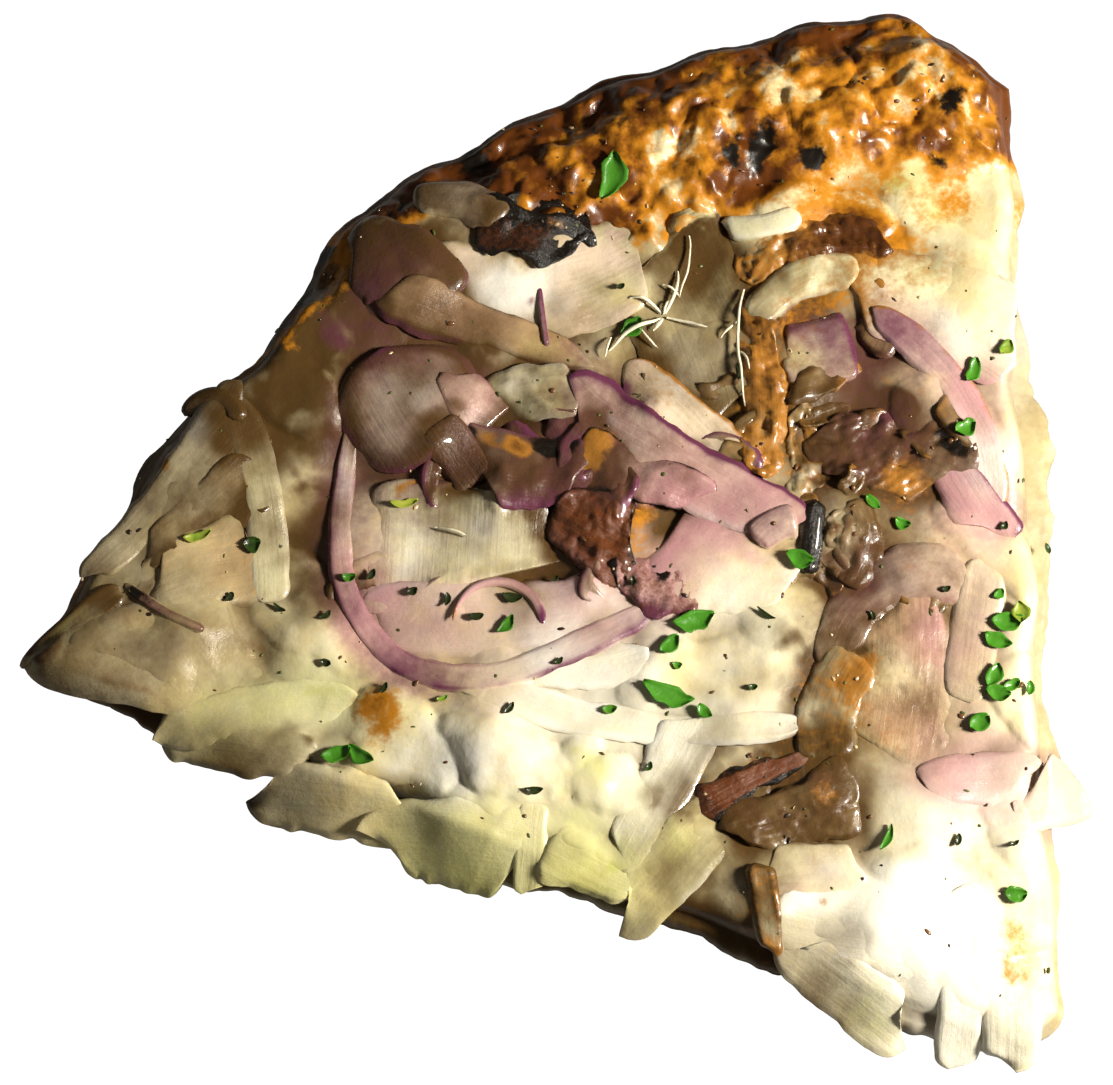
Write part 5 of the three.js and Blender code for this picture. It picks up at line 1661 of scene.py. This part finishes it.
def thread(x, y, heading, length, bend, radius, seed):
    """A tube that starts at (x, y) and runs along an arc over the pile."""
    u = np.linspace(0, 1, max(8, round(length * 2)))
    angle = np.radians(heading + bend * u + 14 * noise(u * length, 0 * u, 2.5, seed))
    step = length * (u[1] - u[0])
    px = x + np.cumsum(np.cos(angle)) * step
    py = y + np.cumsum(np.sin(angle)) * step
    lift = 0.5 + 0.6 * np.sin(math.pi * u) + 0.3 * noise(u * length, 0 * u, 3, seed + 1)
    pz = read_map(pile_top, px, py) + lift
    size = radius * np.sin(math.pi * np.clip(0.12 + 0.86 * u, 0, 1)) ** 0.5
    turn = np.linspace(0, 2 * math.pi, THREAD_SIDES, endpoint=False)[None, :]
    aside, up = size[:, None] * np.cos(turn), size[:, None] * np.sin(turn)
    points = np.stack([px[:, None] - np.sin(angle)[:, None] * aside,
                       py[:, None] + np.cos(angle)[:, None] * aside, pz[:, None] + up], -1)
    points = points.reshape(-1, 3)
    ends = np.array([[px[0], py[0], pz[0]], [px[-1], py[-1], pz[-1]]])
    rings = np.arange(len(u) * THREAD_SIDES).reshape(len(u), THREAD_SIDES)
    faces = [join_loops(rings[k], rings[k + 1])[:, ::-1] for k in range(len(u) - 1)]
    start, end = len(points), len(points) + 1
    first, last = rings[0], rings[-1]
    start_cap = np.stack([first, np.full(THREAD_SIDES, start), np.roll(first, -1)], 1)
    end_cap = np.stack([last, np.roll(last, -1), np.full(THREAD_SIDES, end)], 1)
    return np.concatenate([points, ends]), [*faces, start_cap[:, ::-1], end_cap[:, ::-1]]


def make_threads():
    points, faces = join_parts([thread(*row, 1300 + 5 * k) for k, row in enumerate(THREADS)])
    points = points + IN_FRAME
    values = {kind: np.full(len(points), 0.5 if kind == "white" else 0.0) for kind in KINDS}
    return make_piece("threads", points, faces, onion_looks["pale"], (),
                      values, points[:, :2])


make_threads()
print("threads:", len(THREADS))

# %% [markdown]
# ## Crumbs and beads of oil
# Tiny things are scattered by Geometry Nodes over a surface that follows the pile: points
# with a density from an attribute, a pebble on each, turned and scaled at random. Instances
# are realized at the end, so that what's kept is a plain mesh.


# %% Scatter tree
def build_scatter():
    tree = bpy.data.node_groups.new("scatter", "GeometryNodeTree")
    sockets = [("Geometry", "Geometry"), ("Per Square Metre", "Float"), ("Smallest", "Float"),
               ("Largest", "Float"), ("Flatness", "Float"), ("Seed", "Int"),
               ("Material", "Material")]
    for name, kind in sockets:
        tree.interface.new_socket(name, in_out="INPUT", socket_type="NodeSocket" + kind)
    tree.interface.new_socket("Geometry", in_out="OUTPUT", socket_type="NodeSocketGeometry")
    given = tree.nodes.new("NodeGroupInput").outputs
    result = tree.nodes.new("NodeGroupOutput").inputs

    chance = add_node(tree, "GeometryNodeInputNamedAttribute", data_type="FLOAT",
                      Name="chance")
    density = add_node(tree, "ShaderNodeMath", chance.outputs["Attribute"],
                       given["Per Square Metre"], operation="MULTIPLY")
    spots = add_node(tree, "GeometryNodeDistributePointsOnFaces", Mesh=given["Geometry"],
                     Density=density.outputs[0], Seed=given["Seed"])

    size = add_node(tree, "FunctionNodeRandomValue", data_type="FLOAT", Seed=given["Seed"])
    attach(tree, given["Smallest"], size.inputs[2])
    attach(tree, given["Largest"], size.inputs[3])
    shape = add_node(tree, "FunctionNodeRandomValue", (0.7, 0.5, 0.8), (2.0, 1.2, 1.2),
                     data_type="FLOAT_VECTOR")
    flat = add_node(tree, "ShaderNodeCombineXYZ", 1.0, 1.0, given["Flatness"])
    scale = add_node(tree, "ShaderNodeVectorMath", shape.outputs[0], flat.outputs[0],
                     operation="MULTIPLY")
    sized = add_node(tree, "ShaderNodeVectorMath", scale.outputs[0], operation="SCALE",
                     Scale=size.outputs[1])

    spin = add_node(tree, "FunctionNodeRandomValue", (-0.4, -0.4, 0), (0.4, 0.4, 2 * math.pi),
                    data_type="FLOAT_VECTOR")
    turned = add_node(tree, "FunctionNodeRotateRotation", spots.outputs["Rotation"],
                      spin.outputs[0], rotation_space="LOCAL")

    pebble = add_node(tree, "GeometryNodeMeshIcoSphere", Radius=1.0, Subdivisions=2)
    placed = add_node(tree, "GeometryNodeInstanceOnPoints", Points=spots.outputs["Points"],
                      Instance=pebble.outputs["Mesh"], Rotation=turned.outputs[0],
                      Scale=sized.outputs[0])
    real = add_node(tree, "GeometryNodeRealizeInstances", placed.outputs["Instances"])
    painted = add_node(tree, "GeometryNodeSetMaterial", Geometry=real.outputs["Geometry"],
                       Material=given["Material"])
    tree.links.new(painted.outputs["Geometry"], result["Geometry"])
    return tree


scatter = build_scatter()
print("scatter tree nodes:", len(scatter.nodes))


# %% Scatter one kind
def scatter_on(name, chance, material, slot, **inputs):
    """Strews pebbles over the pile where chance, a grid like the pile's, is above 0."""
    step = 2
    x, y, z = map_x[::step, ::step], map_y[::step, ::step], pile_top[::step, ::step]
    rows, columns = x.shape[0] - 1, x.shape[1] - 1
    points = np.stack([x, y, z], -1).reshape(-1, 3) + IN_FRAME
    mesh = bpy.data.meshes.new(name + "_ground")
    mesh.from_pydata(points * MM, [], grid_faces(rows, columns))
    layer = mesh.attributes.new("chance", "FLOAT", "POINT")
    inside = (outside(x, y) < 0.1) & (x**2 + y**2 > 16)
    layer.data.foreach_set("value", (chance[::step, ::step] * inside).ravel().astype(np.float32))
    ground = put_in_scene(name + "_ground", mesh)
    modifier = ground.modifiers.new("scatter", "NODES")
    modifier.node_group = scatter
    sockets = {item.name: item.identifier for item in scatter.interface.items_tree
               if item.in_out == "INPUT"}
    modifier[sockets["Material"]] = material
    for key, value in inputs.items():
        modifier[sockets[key.replace("_", " ").title()]] = value
    evaluated = ground.evaluated_get(bpy.context.evaluated_depsgraph_get())
    result = bpy.data.meshes.new_from_object(evaluated)
    ground.modifiers.clear()
    bpy.data.objects.remove(ground)
    result.polygons.foreach_set("use_smooth", np.ones(len(result.polygons), bool))
    piece = put_in_scene(name, result)
    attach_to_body(piece, "root")
    print(name, len(result.polygons), "faces")


def plain_material(name, colour, roughness, coat):
    material, tree = new_material(name)
    show_surface(tree, add_node(tree, "ShaderNodeBsdfPrincipled", Roughness=roughness,
                                Base_Color=colour, Coat_Weight=coat))
    return material


# %% Crumbs, dried herb and beads
seared = np.clip(juice_and_shade["charred"] + 0.7 * juice_and_shade["browned"] + 0.5 * juice_and_shade["skin"], 0, 1)
seared = blur(np.maximum(seared, 0.5 * on_rim(map_x, map_y)), 6)
clumps = ease(rough(map_x, map_y, 6, 711), -0.1, 0.7)
scatter_on("burnt_crumbs", clumps * (0.12 + 0.9 * seared),
           plain_material("burnt_crumb", (0.035, 0.018, 0.010, 1), 0.4, 0.3), "onion_charred",
           per_square_metre=90000.0, smallest=0.00012, largest=0.00034, flatness=0.6, seed=3)
scatter_on("brown_crumbs", clumps * (0.15 + 0.6 * seared),
           plain_material("brown_crumb", (0.13, 0.055, 0.018, 1), 0.35, 0.4), "onion_browned",
           per_square_metre=90000.0, smallest=0.00014, largest=0.00042, flatness=0.6, seed=5)
scatter_on("dried_herb", 0.3 * clumps + 0.05,
           plain_material("dried_herb", (0.085, 0.10, 0.022, 1), 0.5, 0.1), "herb",
           per_square_metre=60000.0, smallest=0.00010, largest=0.0003, flatness=0.5, seed=8)
scatter_on("oil_beads", ease(rough(map_x, map_y, 5, 721), 0.0, 0.8) * (0.1 + seared),
           plain_material("oil_bead", (0.62, 0.47, 0.26, 1), 0.05, 1.0), "cheese",
           per_square_metre=120000.0, smallest=0.00010, largest=0.0003, flatness=0.7, seed=9)

# %% [markdown]
# ## The dough
# The dough shows at both cuts and round the rim. Its cut face is a crumb full of small
# bubbles, and its baked outside is brown and smooth.


# %% Dough material
def dough_material():
    material, tree = new_material("baked_dough")
    place = object_place(tree)
    cloud = noise_node(tree, place, 140, 4, 0.6)
    crumb = blend_colour(tree, ramp(tree, cloud, 0.3, 0.7),
                         (0.42, 0.31, 0.18, 1), (0.55, 0.42, 0.25, 1))
    baked = blend_colour(tree, ramp(tree, cloud, 0.35, 0.7),
                         (0.16, 0.075, 0.03, 1), (0.30, 0.15, 0.06, 1))
    colour = blend_colour(tree, attribute(tree, "baked"), crumb, baked)
    pores = noise_node(tree, place, 900, 4, 0.65)
    show_surface(tree, add_node(tree, "ShaderNodeBsdfPrincipled", Base_Color=colour,
                                Normal=relief_of(tree, pores, 0.6, 0.0004), Roughness=0.7))
    return material


# %% Dough mesh
CUT_POINTS = 330
RIM_POINTS = 400
TIP_POINTS = 40
DOUGH_LEVELS = 22


def make_dough():
    along = np.linspace(0, 1, CUT_POINTS)
    across = np.linspace(-1, 1, RIM_POINTS)
    right = plan_point(along, -1 + 0 * along)
    rim = plan_point(1 + 0 * across, across)
    left = plan_point(along[::-1], 1 + 0 * along)
    tip = plan_point(0 * across[:TIP_POINTS], np.linspace(1, -1, TIP_POINTS))
    px, py = (np.concatenate([side[k][:-1] for side in (right, rim, left, tip)])
              for k in (0, 1))
    onto_rim = smooth_loop(np.r_[np.zeros(CUT_POINTS - 1), np.ones(RIM_POINTS - 1),
                                 np.zeros(CUT_POINTS - 1), np.zeros(TIP_POINTS - 1)], 6)
    outward = outward_of(np.stack([px, py], 1))
    spread = np.cumsum(np.r_[0, np.hypot(np.diff(px), np.diff(py))])
    height = dough_top(px, py)
    rows = []
    baked = []
    levels = np.linspace(1, 0, DOUGH_LEVELS)
    for level in levels:
        z = height * level
        belly = mix(0.25, 1.1, onto_rim) * np.sqrt(np.clip(1 - (2 * level - 1) ** 2, 0, 1))
        holes = np.clip(rough(spread, z, 2.6, 81, 3) - 0.15, 0, 1) * 1.3 * (1 - onto_rim)
        holes = holes * ease(level, 0.0, 0.2) * (1 - 0.7 * ease(level, 0.9, 1))
        inset = 0.6 * ease(-level, -0.12, 0)
        push = belly - holes - inset + 0.25 * onto_rim * rough(spread, z, 5, 85)
        rows.append(pushed(px, py, z, outward, push))
        baked.append(np.maximum(onto_rim, ease(-level, -0.16, -0.06)))
    points = np.concatenate(rows)
    loop = len(px)
    faces = []
    for k in range(len(levels) - 1):
        upper = k * loop + np.arange(loop)
        faces.append(join_loops(upper, upper + loop))
    hubs = np.array([[*HUB, 0.0], [*HUB, float(dough_top(*HUB))]])
    points = np.concatenate([points, hubs])
    last = (len(levels) - 1) * loop + np.arange(loop)
    faces.append(np.stack([last, np.full(loop, len(points) - 2), np.roll(last, -1)], 1))
    top = np.arange(loop)
    faces.append(np.stack([top, np.roll(top, -1), np.full(loop, len(points) - 1)], 1))
    baked = np.r_[np.concatenate(baked), 1, 1]
    return make_piece("baked_dough", points + IN_FRAME, faces, dough_material(),
                      ["dough"], {"baked": baked})


dough = make_dough()
print("dough faces:", len(dough.data.polygons))

# %% [markdown]
# ## Floor, light and camera
# The slice lies on a plain pale floor. A small strong light stands close on the right, so
# its shadows are crisp and it falls off across the slice. A wide weak one fills the
# shadows. The camera looks down steeply through a long lens, which flattens the slice.


# %% Stage
FLOOR_SIZE = 4.0


def make_floor():
    material, tree = new_material("pale_floor")
    shader = add_node(tree, "ShaderNodeBsdfPrincipled", Roughness=0.9,
                      Base_Color=(0.35, 0.35, 0.35, 1))
    glow = add_node(tree, "ShaderNodeEmission", Strength=1.1)
    seen = add_node(tree, "ShaderNodeLightPath").outputs["Is Camera Ray"]
    show_surface(tree, add_node(tree, "ShaderNodeMixShader", seen, shader.outputs[0],
                                glow.outputs[0]))
    corners = [(x * FLOOR_SIZE, y * FLOOR_SIZE, 0)
               for x, y in ((-1, -1), (1, -1), (1, 1), (-1, 1))]
    mesh = bpy.data.meshes.new("floor")
    mesh.from_pydata(corners, [], [(0, 1, 2, 3)])
    mesh.materials.append(material)
    floor = put_in_scene("floor", mesh)
    floor.location.z = -0.0004


def add_light(name, at, look_at, size, power, colour):
    light = bpy.data.lights.new(name, "AREA")
    light.shape = "DISK"
    light.size = size
    light.energy = power
    light.color = colour
    holder = put_in_scene(name, light)
    holder.location = at
    holder.rotation_euler = (Vector(look_at) - Vector(at)).to_track_quat("-Z", "Y").to_euler()


make_floor()
add_light("window", (0.22, -0.22, 0.24), (0.01, 0.0, 0.01), 0.08, 3.15, (1.0, 0.94, 0.83))
add_light("fill", (-0.5, 0.3, 0.7), (0, 0, 0), 0.8, 0.25, (1.0, 0.94, 0.84))
world = bpy.data.worlds.new("room")
world.use_nodes = True
sky = world.node_tree.nodes["Background"].inputs
sky["Color"].default_value = (1.0, 0.88, 0.72, 1)
sky["Strength"].default_value = 0.05
scene = bpy.context.scene
scene.world = world
scene.cycles.max_bounces = 4
scene.cycles.diffuse_bounces = 2
scene.cycles.glossy_bounces = 2
scene.view_settings.view_transform = "Standard"

# %% Camera
ELEVATION = math.radians(72)
AZIMUTH = math.radians(-34.6)
DISTANCE = 0.4607
TARGET = Vector((-0.0148, 0.00285, 0.012))
FOCAL_LENGTH = 100
back = Vector((math.sin(AZIMUTH) * math.cos(ELEVATION),
               -math.cos(AZIMUTH) * math.cos(ELEVATION),
               math.sin(ELEVATION)))
lens = bpy.data.cameras.new("camera")
lens.lens = FOCAL_LENGTH
lens.sensor_width = 36
lens.clip_start = 0.01
camera = put_in_scene("camera", lens)
camera.location = TARGET + back * DISTANCE
camera.rotation_euler = back.to_track_quat("Z", "Y").to_euler()
scene.camera = camera
